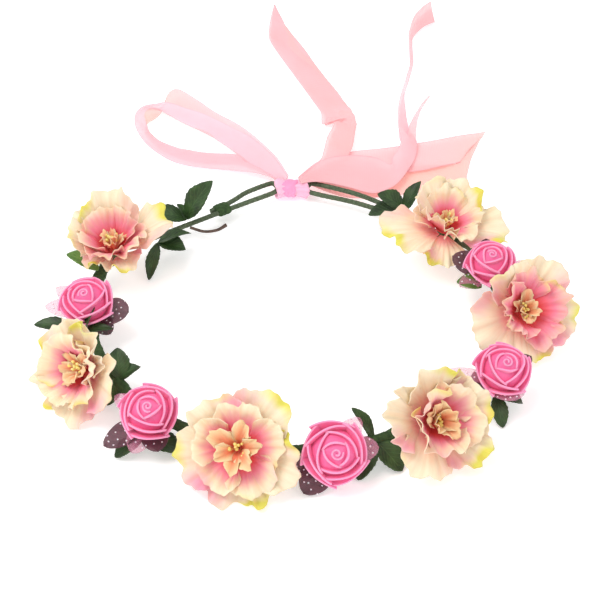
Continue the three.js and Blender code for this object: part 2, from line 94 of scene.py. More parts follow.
def ring_point(turn, out=0.0, up=0.0):
    """Point of the ring's ellipse at a turn, moved out along its normal and up."""
    a = math.radians(turn)
    normal = np.array([math.sin(a) / HALF_WIDTH, -math.cos(a) / HALF_DEPTH, 0.0])
    spot = np.array([HALF_WIDTH * math.sin(a), -HALF_DEPTH * math.cos(a), RING_Z + up])
    return CENTRE + spot + out * normal / np.linalg.norm(normal)


# %% [markdown]
# The camera stands 40 degrees above the table, a little under a metre away, with a long lens,
# so that the ring is seen as a flat oval. The light is a bright, even room with one large soft
# lamp from the upper left and a weaker one from the right, over a white paper that glows a
# little, as on a shop's light table.

# %% Camera
VIEW_RISE = 40.0
VIEW_DISTANCE = 945 * MM
LENS, SENSOR = 118.8, 36
SHIFT = 0.0067, 0.0333
NEAREST = 10 * MM
scene = bpy.context.scene
scene.view_settings.view_transform = "Standard"
camera_data = bpy.data.cameras.new("camera")
camera = bpy.data.objects.new("camera", camera_data)
bpy.context.collection.objects.link(camera)
camera.location = CENTRE * MM + heading(0, VIEW_RISE) * VIEW_DISTANCE
camera.rotation_euler = (math.radians(90 - VIEW_RISE), 0, 0)
camera_data.lens = LENS
camera_data.sensor_width = SENSOR
camera_data.shift_x, camera_data.shift_y = SHIFT
camera_data.clip_start = NEAREST
scene.camera = camera
print("camera at", [round(x, 3) for x in camera.location])

# %% Lights
# Each lamp's place and side in metres, and its power in watts.
LAMPS = {"key": ((-0.6, -0.4, 1.3), 0.8, 10.0), "fill": ((0.9, -0.9, 0.9), 1.2, 3.0)}
ROOM_LIGHT = 0.72


def lamp(name, place, size, power):
    """Square area lamp at place that looks at the middle of the ring."""
    data = bpy.data.lights.new(name, "AREA")
    data.size = size
    data.energy = power
    piece = bpy.data.objects.new(name, data)
    bpy.context.collection.objects.link(piece)
    piece.location = place
    aim = CENTRE * MM - np.array(place)
    turn = math.atan2(aim[1], aim[0])
    tilt = math.acos(-aim[2] / np.linalg.norm(aim))
    piece.rotation_euler = (tilt, 0, turn - math.pi / 2)


for name, (place, size, power) in LAMPS.items():
    lamp(name, place, size, power)
world = bpy.data.worlds.new("room")
scene.world = world
world.use_nodes = True
world.node_tree.nodes["Background"].inputs["Color"].default_value = (1, 1, 1, 1)
world.node_tree.nodes["Background"].inputs["Strength"].default_value = ROOM_LIGHT
print("lamps:", list(LAMPS))

# %% Floor
FLOOR_SIDE = 6
PAPER_TONE, PAPER_GLOW = 0.95, 0.34
bpy.ops.mesh.primitive_plane_add(size=FLOOR_SIDE, location=(0, 0, 0))
floor = bpy.context.object
floor.name = "table_top"
paper = bpy.data.materials.new("white_paper")
paper.use_nodes = True
paper_shader = paper.node_tree.nodes["Principled BSDF"]
paper_shader.inputs["Base Color"].default_value = (PAPER_TONE, PAPER_TONE, PAPER_TONE, 1)
paper_shader.inputs["Roughness"].default_value = 1.0
paper_shader.inputs["Emission Color"].default_value = (1, 1, 1, 1)
paper_shader.inputs["Emission Strength"].default_value = PAPER_GLOW
floor.data.materials.append(paper)
print("floor", FLOOR_SIDE, "m")

# %% [markdown]
# Small tools. A surface is an array of points on a grid, and a mesh can hold many of them.
# Each grid carries its own across-and-along numbers as a UV map, and up to three painted
# amounts as a colour attribute, which the materials read. A thin sheet is given both of its
# sides here, or by a Solidify modifier where the whole piece is made of sheets.

# %% Mesh tools
def unit(v):
    """Vectors scaled to length 1."""
    return v / np.maximum(np.linalg.norm(v, axis=-1, keepdims=True), 1e-9)


def grid_faces(rows, cols, first=0, closed=False):
    """Quads of a rows by cols grid of points, with the last column joined on if closed."""
    row, col = np.meshgrid(np.arange(rows - 1), np.arange(cols if closed else cols - 1), indexing="ij")
    here = row * cols + col
    beside = row * cols + (col + 1) % cols
    return first + np.stack([here, beside, beside + cols, here + cols], -1).reshape(-1, 4)


def two_sided(values):
    """Numbers on a grid, carried over one side of a thin sheet and back over the other. The
    first and last rows come twice, for the sheet's middle line where its two sides meet."""
    there_and_back = np.concatenate([values, values[:, ::-1]], 1)
    return np.concatenate([there_and_back[:1], there_and_back, there_and_back[-1:]])


def thin_sheet(grid, thickness):
    """Closed sheet on a grid: its two sides lie half the thickness either way along the
    normal, which is the cross product of the grid's steps across and along."""
    normal = unit(np.cross(np.gradient(grid, axis=1), np.gradient(grid, axis=0)))
    shell = two_sided(grid)
    shell[1:-1] += np.concatenate([normal, -normal[:, ::-1]], 1) * thickness / 2
    return shell


def above_table(grid, rest, ease):
    """Grid bent to lie along the table: where z is under rest + ease it becomes
    rest + ease * exp((z - rest - ease) / ease), which never gets down to rest."""
    low = np.minimum(grid[..., 2] - rest - ease, 0)
    return grid + np.stack([0 * low, 0 * low, ease * np.exp(low / ease) - ease - low], -1)


class Sheets:
    """Collects grids of points, in mm, with their UV and paint, and makes one mesh of them. A
    grid that is given a thickness becomes a closed thin sheet."""

    def __init__(self):
        self.points, self.faces, self.uv, self.paint, self.kind = [], [], [], [], []
        self.count = 0

    def add(self, grid, uv=None, paint=None, closed=False, kind=0, thickness=0.0):
        rows, cols = grid.shape[:2]
        if uv is None:
            v, u = np.meshgrid(np.linspace(0, 1, rows), np.linspace(0, 1, cols), indexing="ij")
            uv = np.stack([u, v], -1)
        if paint is None:
            paint = np.zeros((rows, cols, 3))
        if thickness:
            grid, uv, paint, closed = thin_sheet(grid, thickness), two_sided(uv), two_sided(paint), True
            rows, cols = grid.shape[:2]
        faces = grid_faces(rows, cols, self.count, closed)
        self.points.append(grid.reshape(-1, 3))
        self.faces.append(faces)
        self.uv.append(uv.reshape(-1, 2))
        self.paint.append(paint.reshape(-1, 3))
        self.kind.append(np.full(len(faces), kind))
        self.count += rows * cols

    def make(self, name, materials):
        points = np.concatenate(self.points) * MM
        faces = np.concatenate(self.faces)
        mesh = bpy.data.meshes.new(name)
        mesh.from_pydata(points, [], faces)
        layer = mesh.uv_layers.new(name="along")
        layer.data.foreach_set("uv", np.concatenate(self.uv)[faces.reshape(-1)].reshape(-1))
        paint = mesh.attributes.new("paint", "FLOAT_COLOR", "POINT")
        rgba = np.concatenate([np.concatenate(self.paint), np.ones((len(points), 1))], 1)
        paint.data.foreach_set("color", rgba.reshape(-1))
        mesh.polygons.foreach_set("material_index", np.concatenate(self.kind))
        mesh.polygons.foreach_set("use_smooth", np.ones(len(faces), bool))
        for material in materials:
            mesh.materials.append(material)
        mesh.update()
        piece = bpy.data.objects.new(name, mesh)
        bpy.context.collection.objects.link(piece)
        return piece


def give_thickness(piece, thickness_mm, rounds=0):
    """Solidify about the middle, with a Subdivision Surface where the rims are to be rounded."""
    solid = piece.modifiers.new("thickness", "SOLIDIFY")
    solid.thickness = thickness_mm * MM
    solid.offset = 0
    solid.use_even_offset = False
    if rounds:
        smooth = piece.modifiers.new("rounded", "SUBSURF")
        smooth.levels = rounds
        smooth.render_levels = rounds


def seat(piece, node, body=ROOT):
    """Lets a piece ride on a body in place of a CAD node."""
    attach(piece, body)
    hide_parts(node)


# %% Curves and tubes
def catmull_rom(points, stations):
    """Catmull-Rom curve through the points at stations, which count 0, 1, 2 at the points."""
    p = np.asarray(points, float)
    p = np.vstack([2 * p[0] - p[1], p, 2 * p[-1] - p[-2]])
    i = np.minimum(stations.astype(int), len(p) - 4)
    f = (stations - i)[:, None]
    a, b, c, d = p[i], p[i + 1], p[i + 2], p[i + 3]
    return 0.5 * (2 * b + (c - a) * f + (2 * a - 5 * b + 4 * c - d) * f**2 + (3 * b - a - 3 * c + d) * f**3)


def path_length(path):
    """Length of a path from its start to each of its points."""
    return np.concatenate([[0], np.cumsum(np.linalg.norm(np.diff(path, axis=0), axis=1))])


def smooth_path(points, count):
    """Catmull-Rom curve through the points, as count points evenly spaced along it."""
    spans = len(points) - 1
    fine = catmull_rom(points, np.linspace(0, spans, spans * 24 + 1))
    run = path_length(fine)
    even = np.linspace(0, run[-1], count)
    return np.stack([np.interp(even, run, fine[:, k]) for k in range(3)], -1)


def tube(path, radius, sides=12, ridges=0.0, pitch=1.0):
    """Round tube on a path, closed at its ends; a spiral ridge repeats every pitch mm."""
    path = np.asarray(path, float)
    ahead = unit(np.gradient(path, axis=0))
    side = unit(np.cross(ahead, [0.0, 0.0, 1.0]) + 1e-6)
    top = np.cross(side, ahead)
    angle = np.linspace(0, 2 * math.pi, sides, endpoint=False)
    turn = (path_length(path)[:, None] / pitch + angle / (2 * math.pi)) % 1
    r = np.broadcast_to(np.asarray(radius, float).reshape(-1, 1), turn.shape) + ridges * turn
    grid = path[:, None] + r[..., None] * (
        np.cos(angle)[None, :, None] * side[:, None] + np.sin(angle)[None, :, None] * top[:, None])
    ends = [np.broadcast_to(path[k], (1, sides, 3)) for k in (0, -1)]
    return np.concatenate([ends[0], grid, ends[1]])[:, ::-1]


# %% [markdown]
# One function turns a hex colour into the linear numbers that Blender's shaders expect, and one
# adds a node with its settings and links. Every material below is made with these two, on
# Object coordinates where a pattern has no direction, and on the piece's UV map where it has.

# %% Material tools
def linear(code, alpha=1.0):
    """sRGB hex to linear RGBA."""
    c = np.array([int(code[i:i + 2], 16) / 255 for i in (0, 2, 4)])
    c = np.where(c <= 0.04045, c / 12.92, ((c + 0.055) / 1.055) ** 2.4)
    return (*c.tolist(), alpha)


def put(tree, kind, settings=None, stops=(), out=0, **links):
    """Adds a node and returns one of its outputs. settings are its properties, stops a ramp's
    places and colours, and links its inputs, by name or by number as i0, i1 and so on."""
    node = tree.nodes.new(kind)
    for key, value in (settings or {}).items():
        setattr(node, key, value)
    for spare in stops[2:]:
        node.color_ramp.elements.new(0.5)
    for number, (place, colour) in enumerate(stops):
        node.color_ramp.elements[number].position = place
        node.color_ramp.elements[number].color = colour
    for key, value in links.items():
        socket = node.inputs[int(key[1:]) if key[1:].isdigit() else key.replace("_", " ")]
        if isinstance(value, bpy.types.NodeSocket):
            tree.links.new(value, socket)
        else:
            socket.default_value = value
    return node.outputs[out]


def fade(*stops):
    """Places and levels as the stops of a ramp that is used for its grey."""
    return [(place, (level, level, level, 1)) for place, level in stops]


def tones(*stops):
    """Places and hex colours as the stops of a colour ramp."""
    return [(place, linear(code)) for place, code in stops]


def spots(size_mm):
    """Scale of a noise on Object coordinates whose blotches are about size_mm across."""
    return 1000 / size_mm


def blank(name, rough, **sockets):
    """New material with its Principled shader's constants set, as (material, tree, shader)."""
    material = bpy.data.materials.new(name)
    material.use_nodes = True
    tree = material.node_tree
    shader = tree.nodes["Principled BSDF"]
    shader.inputs["Roughness"].default_value = rough
    for key, value in sockets.items():
        shader.inputs[key.replace("_", " ")].default_value = value
    return material, tree, shader


def painted(tree):
    """The three amounts painted on a piece's points."""
    paint = put(tree, "ShaderNodeAttribute", {"attribute_name": "paint"}, out="Color")
    return put(tree, "ShaderNodeSeparateColor", Color=paint).node.outputs[:]


def stretched_uv(tree, across, along):
    """The piece's own UV map, stretched."""
    uv = put(tree, "ShaderNodeUVMap", {"uv_map": "along"})
    return put(tree, "ShaderNodeMapping", Vector=uv, Scale=(across, along, 1))


def dress(tree, shader, colour, height, strength, depth_mm):
    """Links the colour, and a bump of a height, to the shader."""
    tree.links.new(colour, shader.inputs["Base Color"])
    normal = put(tree, "ShaderNodeBump", Strength=strength, Distance=depth_mm * MM, Height=height)
    tree.links.new(normal, shader.inputs["Normal"])


RAMP, NOISE, MIX, MATH = "ShaderNodeValToRGB", "ShaderNodeTexNoise", "ShaderNodeMix", "ShaderNodeMath"
BLEND = {"data_type": "RGBA", "blend_type": "MIX"}
DARKEN = {"data_type": "RGBA", "blend_type": "MULTIPLY"}
SUM = {"operation": "MULTIPLY_ADD"}
print("tools ready")

# %% [markdown]
# The blossoms are polyester silk: a fine woven cloth stiffened with starch, punched to shape,
# airbrushed and hot-pressed into ruffles. The airbrush leaves soft edges: coral in the throat,
# a rosy blush down one side of a petal, a lime touch at some tips, on warm cream. Pressing
# leaves fine ribs that fan from the base. The cloth is matt, with a little sheen at the edges.

# %% Silk of the petals
def airbrushed_silk(name, throat, blush, lime):
    """Paint from the petal's three amounts, made uneven by streaks along the ribs and clouds."""
    material, tree, shader = blank(name, 0.62, Sheen_Weight=0.15, Sheen_Roughness=0.4,
                                   Subsurface_Weight=0.1, Subsurface_Scale=0.004,
                                   Subsurface_Radius=(1.0, 0.5, 0.35), Specular_IOR_Level=0.3)
    throat_dye_and_gap_shade, rosy, tip = painted(tree)
    where = put(tree, "ShaderNodeTexCoord", out="Object")
    cloud = put(tree, NOISE, Vector=where, Scale=spots(9), Detail=4.0)
    streak = put(tree, NOISE, Vector=stretched_uv(tree, 16, 1.2), Scale=1.0, Detail=4.0)

    def uneven(amount, by_streak, by_cloud):
        shaken = put(tree, MATH, SUM, i0=streak, i1=by_streak, i2=amount)
        shaken = put(tree, MATH, SUM, i0=cloud, i1=by_cloud, i2=shaken)
        return put(tree, MATH, {"operation": "SUBTRACT"}, i0=shaken, i1=(by_streak + by_cloud) / 2)

    colour = put(tree, RAMP, stops=tones(*throat), i0=uneven(throat_dye_and_gap_shade, 0.35, 0.2))
    rosy = put(tree, RAMP, stops=fade((0.2, 0), (0.95, 1)), i0=uneven(rosy, 0.3, 0.3))
    colour = put(tree, MIX, BLEND, out=2, i0=rosy, i6=colour, i7=linear(blush))
    tip = put(tree, RAMP, stops=fade((0.2, 0), (0.85, 1)), i0=uneven(tip, 0.3, 0.3))
    colour = put(tree, MIX, BLEND, out=2, i0=tip, i6=colour, i7=linear(lime))
    # Painted shade: the petal is darkened a little towards peach in the grooves of the pressed ribs, where
    # the streak and so the bump are low.
    veins_and_groove_shade = put(tree, RAMP, stops=fade((0.38, 0.2), (0.55, 0.0)), i0=streak)
    colour = put(tree, MIX, DARKEN, out=2, i0=veins_and_groove_shade, i6=colour, i7=linear("F2B49A"))
    # Threads 0.2 mm apart are too fine to see here, so the cloth's grain is drawn at 0.6 mm.
    grain = put(tree, NOISE, Vector=where, Scale=spots(0.6), Detail=2.0)
    ribs = put(tree, MATH, SUM, i0=grain, i1=0.3, i2=streak)
    dress(tree, shader, colour, ribs, 0.6, 0.4)
    return material


OUTER_TONES = [(0.0, "FBEBCB"), (0.35, "FBE2C6"), (0.6, "FBC0B4"), (1.0, "F58A90")]
INNER_TONES = [(0.0, "FCECC9"), (0.2, "FCDFBE"), (0.42, "FAB6B3"), (0.62, "F78FA6"), (0.84, "F2697A"),
               (1.0, "E9504F")]
CROWN_TONES = [(0.0, "FDEBC0"), (0.3, "FCD6A4"), (0.6, "F9A07C"), (1.0, "EF6652")]
silk_outer = airbrushed_silk("polyester_silk_outer", OUTER_TONES, "F8A3BA", "E6DE62")
silk_inner = airbrushed_silk("polyester_silk_inner", INNER_TONES, "F89AB0", "EEDD7C")
silk_crown = airbrushed_silk("polyester_silk_crown", CROWN_TONES, "F9A98A", "F6E08C")
print("petal cloths made")

# %% [markdown]
# A petal is one surface of two parameters, like a fan. u turns across the fan and v runs from
# the claw to the rim, so that the pressed ribs, which are waves in u, spread as they do in
# real petals. The rim is an arch with a shallow notch and small ragged waves. The fan is bent
# along its length from steep to its own rise, cupped across, thrown into ruffles at the rim
# and rolled back there.

# %% Petal surface
def petal(length, half_angle, rise, cup, ruffle, rng, rows=34, cols=41, claw=2.5, shoulder=0.34,
          waves=2.2, curl=0.0, peak=0.0):
    """Grid of one petal in its own frame: x outwards, y across, z along the flower's axis.

    The rim stands at length * (1 - shoulder |u|^2.6 - notch - peak |u|) from the claw, and
    three small sine waves in u make it ragged. The bend's rise goes from rise[0] to rise[1]
    degrees and then falls by curl radians over the last fifth. Off the surface a point moves
    by cup * across^2 / length, by ruffle * v^3 * sin(waves pi u) and a finer wave of 0.6 of
    that, and by two runs of pressed ribs that grow with v^1.5.
    """
    v, u = np.meshgrid(np.linspace(0, 1, rows), np.linspace(-1, 1, cols), indexing="ij")
    phase = rng.uniform(0, 2 * math.pi, 6)
    notch = 0.05 * rng.uniform(0, 1) * np.exp(-((u - rng.uniform(-0.2, 0.2)) / 0.16) ** 2)
    rim = 1 - shoulder * np.abs(u) ** 2.6 - notch - peak * np.abs(u)
    rim = rim + 0.035 * np.sin(5 * u + phase[0]) + 0.022 * np.sin(13 * u + phase[1])
    rim = rim + 0.012 * np.sin(31 * u + phase[4])
    r = claw + (length * rim - claw) * v
    turn = math.radians(half_angle) * u * (1 - 0.12 * (1 - v))
    outward, across = r * np.cos(turn), r * np.sin(turn)

    # The bent midrib, worked out once as a path a tenth longer than the petal.
    beyond = 1.1
    t = np.linspace(0, beyond, 60)
    bend = np.radians(rise[0] + (rise[1] - rise[0]) * np.clip(t, 0, 1) ** 0.8)
    bend = bend - curl * np.clip((t - 0.78) / 0.22, 0, 1.5)
    step = length * beyond / (len(t) - 1)
    run = np.concatenate([[0], np.cumsum(np.cos(bend[:-1]))]) * step
    climb = np.concatenate([[0], np.cumsum(np.sin(bend[:-1]))]) * step
    share = np.clip(outward / length, 0, beyond)
    x, z, a = np.interp(share, t, run), np.interp(share, t, climb), np.interp(share, t, bend)

    fine = np.sin(waves * 2.3 * math.pi * u + phase[3] + 2 * v)
    ribs = 0.3 * np.sin(7 * math.pi * u + phase[4]) + 0.2 * np.sin(16 * u + 5 * u**2 + phase[5])
    lift = cup * across**2 / length + v**1.5 * ribs
    lift = lift + ruffle * v**3 * (np.sin(waves * math.pi * u + phase[2]) + 0.6 * fine)
    return np.stack([x - lift * np.sin(a), across, z + lift * np.cos(a)], -1), u, v


def turn_about_axis(grid, degrees):
    """Grid turned about the flower's axis."""
    a = math.radians(degrees)
    rotation = np.array([[math.cos(a), -math.sin(a), 0], [math.sin(a), math.cos(a), 0], [0, 0, 1]])
    return grid @ rotation.T


# %% [markdown]
# Each flower's place comes from its CAD solids. The stamen solid and the rose solid end in a
# flat round top that looks the way the flower does, so the biggest flat patch of the mesh gives
# the flower's axis and its height above the wire.

# %% Flower frames
def flat_top(node):
    """Centre and normal, in mm, of the flat patch with the largest area in a node's mesh, and
    the mesh's points."""
    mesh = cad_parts[node].data
    mesh.calc_loop_triangles()
    points = np.array([v.co for v in mesh.vertices]) / MM
    triangles = points[np.array([t.vertices for t in mesh.loop_triangles])]
    normal = np.cross(triangles[:, 1] - triangles[:, 0], triangles[:, 2] - triangles[:, 0])
    area = np.linalg.norm(normal, axis=1) / 2
    member = np.unique(np.round(unit(normal), 2), axis=0, return_inverse=True)[1].reshape(-1)
    chosen = member == np.bincount(member, area).argmax()
    centre = (triangles.mean(1)[chosen] * area[chosen, None]).sum(0) / area[chosen].sum()
    return centre, unit(normal[chosen].sum(0)), points


def flower_frame(node, foot, top):
    """Origin on the wire, axes as rows and scale of a flower, from its solid's two heights."""
    centre, axis, points = flat_top(node)
    scale = (centre @ axis - (points @ axis).min()) / (top - foot)
    side = unit(np.cross([0.0, 0.0, 1.0], axis))
    return centre - axis * top * scale, np.array([side, np.cross(axis, side), axis]), scale


def placed(grid, place):
    """Grid in a flower's own mm, moved to its place in the crown."""
    origin, axes, scale = place
    return origin + scale * (grid @ axes)


# Heights above the wire, in mm, at which the stamen solid and the rose solid start and end.
BLOSSOM_FOOT, BLOSSOM_TOP = 7.8, 20.5
ROSE_FOOT, ROSE_TOP = 5.5, 22.2
blossom_places = [flower_frame(f"blossom_{i}_stamens", BLOSSOM_FOOT, BLOSSOM_TOP) for i in range(1, 7)]
rose_places = [flower_frame(f"rose_{i}_head", ROSE_FOOT, ROSE_TOP) for i in range(1, 6)]
for number, (origin, axes, scale) in enumerate(blossom_places + rose_places, 1):
    print("flower", number, "looks up", round(math.degrees(math.asin(axes[2][2]))), "scale", round(scale, 2))

# %% [markdown]
# A blossom has five broad outer petals, five smaller inner ones set between them and more
# upright, a ragged crown of narrow coral petals, and a tuft of yellow anthers. The six blossoms
# differ in how far each petal opens, as hand-pressed petals do, so each has its own list of
# rises, one number for each petal from the one at the flower's right, going round.

# %% Blossoms
# roll: turn of the first petal. outer, inner: tip rise of each petal. long: each outer petal's
# length as a share. reach: how far up the inner petals the coral goes. corona: length in mm of
# the narrow petals in the middle.
BLOSSOMS = [
    {"roll": 18, "outer": [-4, 12, 74, 56, 14], "inner": [30, 68, 80, 58, 34],
     "long": [0.72, 1.18, 1.12, 1.0, 0.66], "reach": 1.2, "corona": 11, "seed": 3},
    {"roll": 6, "outer": [14, 34, 22, 0, 8], "inner": [46, 58, 50, 38, 34],
     "long": [1.0, 1.0, 1.0, 1.0, 1.0], "reach": 0.95, "corona": 13, "seed": 12},
    {"roll": 58, "outer": [6, 14, 2, -6, 6], "inner": [18, 30, 20, 12, 16],
     "long": [1.0, 0.95, 1.0, 1.0, 0.95], "reach": 1.0, "corona": 18, "seed": 5},
    {"roll": 10, "outer": [36, 40, 26, 22, 30], "inner": [48, 64, 56, 60, 42],
     "long": [0.98, 1.0, 1.08, 1.0, 1.02], "reach": 1.05, "corona": 16, "seed": 8},
    {"roll": 40, "outer": [14, 40, 10, 4, 6], "inner": [36, 62, 58, 22, 26],
     "long": [1.0, 1.0, 1.05, 0.95, 1.0], "reach": 1.35, "corona": 13, "seed": 17},
    {"roll": 16, "outer": [54, 62, 2, -26, 4], "inner": [66, 40, 64, 30, 34],
     "long": [1.0, 1.0, 1.25, 0.9, 1.15], "reach": 0.95, "corona": 11, "seed": 21},
]
SILK_T = 0.28
# Each layer: its height on the axis and a petal's length, in mm; half its fan angle and its
# rise at the claw, in degrees; how far from the axis it starts, in mm; how many degrees it
# may stand off its even place; and its cup, ruffle and curl, as in petal.
OUTER = dict(height=8.8, length=27.0, angle=47, start=30, hub=1.6, sway=6, cup=0.35, ruffle=2.0, curl=0.9)
INNER = dict(height=10.4, length=21.5, angle=46, start=34, hub=1.6, sway=6, cup=0.5, ruffle=1.9, curl=1.2)
CORONA = dict(height=11.0, angle=23, start=66, hub=1.0, sway=14, cup=1.8, ruffle=1.0, curl=1.6, claw=1.5,
              shoulder=0.2, peak=0.2, rows=20, cols=15, thickness=SILK_T)
INNER_TURN = 36
CORONA_PETALS = 6
# A petal or leaf lies on the table with this least height, and starts to bend this far above.
TABLE_REST, TABLE_EASE = 0.2, 3


def petal_ring(sheets, place, rises, roll, rng, paint, height, length, angle, start, hub, sway, cup,
               ruffle, curl, long=None, thickness=0.0, **shape):
    """Lays one petal for each rise round the axis, with its own size, curl and paint. A petal
    that would dip through the table bends along it."""
    count = len(rises)
    for k, tip in enumerate(rises):
        size = length * rng.uniform(0.95, 1.05) * (long[k] if long else 1)
        grid, u, v = petal(size, angle * rng.uniform(0.9, 1.08), (start + 0.3 * tip, tip),
                           cup * rng.uniform(0.2, 1.2), ruffle * rng.uniform(0.7, 1.3), rng,
                           waves=rng.uniform(1.6, 3.4), curl=rng.uniform(0, curl), **shape)
        grid[..., 0] += hub
        grid = turn_about_axis(grid, roll + 360 * k / count + rng.uniform(-sway, sway))
        grid[..., 2] += height + 0.3 * (k % 2)
        grid = above_table(placed(grid, place), TABLE_REST, TABLE_EASE)
        sheets.add(grid, paint=paint(u, v, rng), thickness=thickness)


def touch(u, v, at_u, at_v, wide, high):
    """Soft airbrushed spot: exp of minus the squared distances from its middle over its spreads."""
    return np.exp(-((u - at_u) ** 2 / wide + (v - at_v) ** 2 / high))


def outer_paint(u, v, rng):
    """Throat fades by v = 0.7; blush sits on one side of the rim; lime at one spot of it."""
    side, spot = rng.uniform(-1, 1), rng.uniform(-0.9, 0.9)
    blush = rng.uniform(0.25, 1.15) * touch(u, v, 0.8 * np.sign(side), 0.85, 0.4, 0.09)
    lime = rng.uniform(0.1, 1.4) * touch(u, v, spot, 1.0, 0.14, 0.03)
    throat = np.clip(1.15 - 1.7 * v, 0, 1)
    return np.stack([throat, blush, lime], -1)


def inner_paint(u, v, rng, reach):
    """Coral at the claw, rose at about half of reach, cream at the rim."""
    side = rng.uniform(-1, 1)
    blush = rng.uniform(0.0, 0.8) * touch(u, v, side, 1.0, 0.3, 0.06)
    throat = np.clip(1.25 - 1.32 * v / reach + 0.1 * np.abs(u), 0, 1)
    lime = rng.uniform(0, 0.8) * touch(u, v, -side, 1.0, 0.12, 0.02)
    return np.stack([throat, blush, lime], -1)


def corona_paint(u, v, rng):
    """Coral foot and midrib, cream rims."""
    return np.stack([np.clip(1.05 - 0.75 * v - 0.55 * np.abs(u) ** 2, 0, 1), 0 * u, 0.25 * v], -1)


# %% [markdown]
# Anthers and filaments are moulded soft plastic in pale yellow, satin, a little see-through.
# Twelve filaments lean out from the eye of the flower, and each carries one grain.

# %% Stamens
def moulded(name, colour, dark, rough, size_mm):
    """Satin moulded plastic with slight mottling and fine sink marks."""
    material, tree, shader = blank(name, rough, Subsurface_Weight=0.15, Subsurface_Scale=0.001)
    where = put(tree, "ShaderNodeTexCoord", out="Object")
    cloud = put(tree, NOISE, Vector=where, Scale=spots(size_mm), Detail=3.0)
    share = put(tree, RAMP, stops=fade((0.3, 0), (0.75, 1)), i0=cloud)
    tone = put(tree, MIX, BLEND, out=2, i0=share, i6=linear(dark), i7=linear(colour))
    marks = put(tree, NOISE, Vector=where, Scale=spots(size_mm / 4), Detail=2.0)
    dress(tree, shader, tone, marks, 0.4, 0.15)
    return material


anther_plastic = moulded("moulded_anther", "FBF0A4", "F4DF78", 0.5, 1.5)
filament_plastic = moulded("moulded_filament", "FBD9A0", "F2A57E", 0.5, 2.0)
EYE_HEIGHT, EYE_RADIUS = 10.2, 5
STAMENS, STAMEN_FOOT, FILAMENT_R = 12, 10.4, 0.28


def bead(centre, radius, axis=(0, 0, 1), stretch=1.5, rows=6, cols=8):
    """Small closed grain, a ball drawn out along its axis."""
    axis = unit(np.asarray(axis, float))
    side = unit(np.cross(axis, [0.3, 0.9, 0.2]))
    other = np.cross(axis, side)
    a, b = np.meshgrid(np.linspace(0, math.pi, rows), np.linspace(0, 2 * math.pi, cols, endpoint=False),
                       indexing="ij")
    grid = (np.sin(a) * np.cos(b))[..., None] * side + (np.sin(a) * np.sin(b))[..., None] * other
    grid = grid + stretch * np.cos(a)[..., None] * axis
    return np.asarray(centre) + radius * grid[:, ::-1]


def flower_eye():
    """Shallow bowl under the stamens: its height grows by 0.1 r^2."""
    a, r = np.meshgrid(np.linspace(0, 2 * math.pi, 24, endpoint=False), np.linspace(0.01, EYE_RADIUS, 7))
    return np.stack([r * np.cos(a), r * np.sin(a), EYE_HEIGHT + 0.1 * r**2], -1)


def stamen(rng):
    """Path of a filament, which leans by up to 22 degrees and bends midway, and its heading."""
    lean, spin = np.radians(rng.uniform(2, 22)), np.radians(rng.uniform(0, 360))
    tall = rng.uniform(7.0, 9.5)
    away = np.array([math.sin(lean) * math.cos(spin), math.sin(lean) * math.sin(spin), math.cos(lean)])
    foot = np.array([0, 0, STAMEN_FOOT]) + away * [1, 1, 0]
    bend = foot + away * tall * 0.5 + rng.uniform(-0.4, 0.4, 3)
    return smooth_path([foot, bend, foot + away * tall], 6), away


# %% Build the six blossoms
for number, (spec, place) in enumerate(zip(BLOSSOMS, blossom_places), 1):
    rng = np.random.default_rng(spec["seed"])
    outer = Sheets()
    petal_ring(outer, place, spec["outer"], spec["roll"], rng, outer_paint, long=spec["long"], **OUTER)
    piece = outer.make(f"blossom_{number}_outer_silk", [silk_outer])
    give_thickness(piece, SILK_T)
    seat(piece, f"blossom_{number}_outer_petals")

    inner = Sheets()
    eye = flower_eye()
    inner.add(placed(eye, place), paint=np.full(eye.shape, [1.0, 0.0, 0.0]), closed=True)
    petal_ring(inner, place, spec["inner"], spec["roll"] + INNER_TURN, rng,
               partial(inner_paint, reach=spec["reach"]), **INNER)
    piece = inner.make(f"blossom_{number}_inner_silk", [silk_inner])
    give_thickness(piece, SILK_T)
    seat(piece, f"blossom_{number}_inner_petals")

    centre = Sheets()
    petal_ring(centre, place, rng.uniform(20, 70, CORONA_PETALS), rng.uniform(0, 60), rng, corona_paint,
               length=spec["corona"], **CORONA)
    for k in range(STAMENS):
        line, away = stamen(rng)
        centre.add(placed(tube(line, FILAMENT_R, 6), place), closed=True, kind=1)
        centre.add(placed(bead(line[-1], rng.uniform(0.6, 0.85), away), place), closed=True, kind=2)
    piece = centre.make(f"blossom_{number}_centre", [silk_crown, filament_plastic, anther_plastic])
    seat(piece, f"blossom_{number}_stamens")
print("six blossoms made")
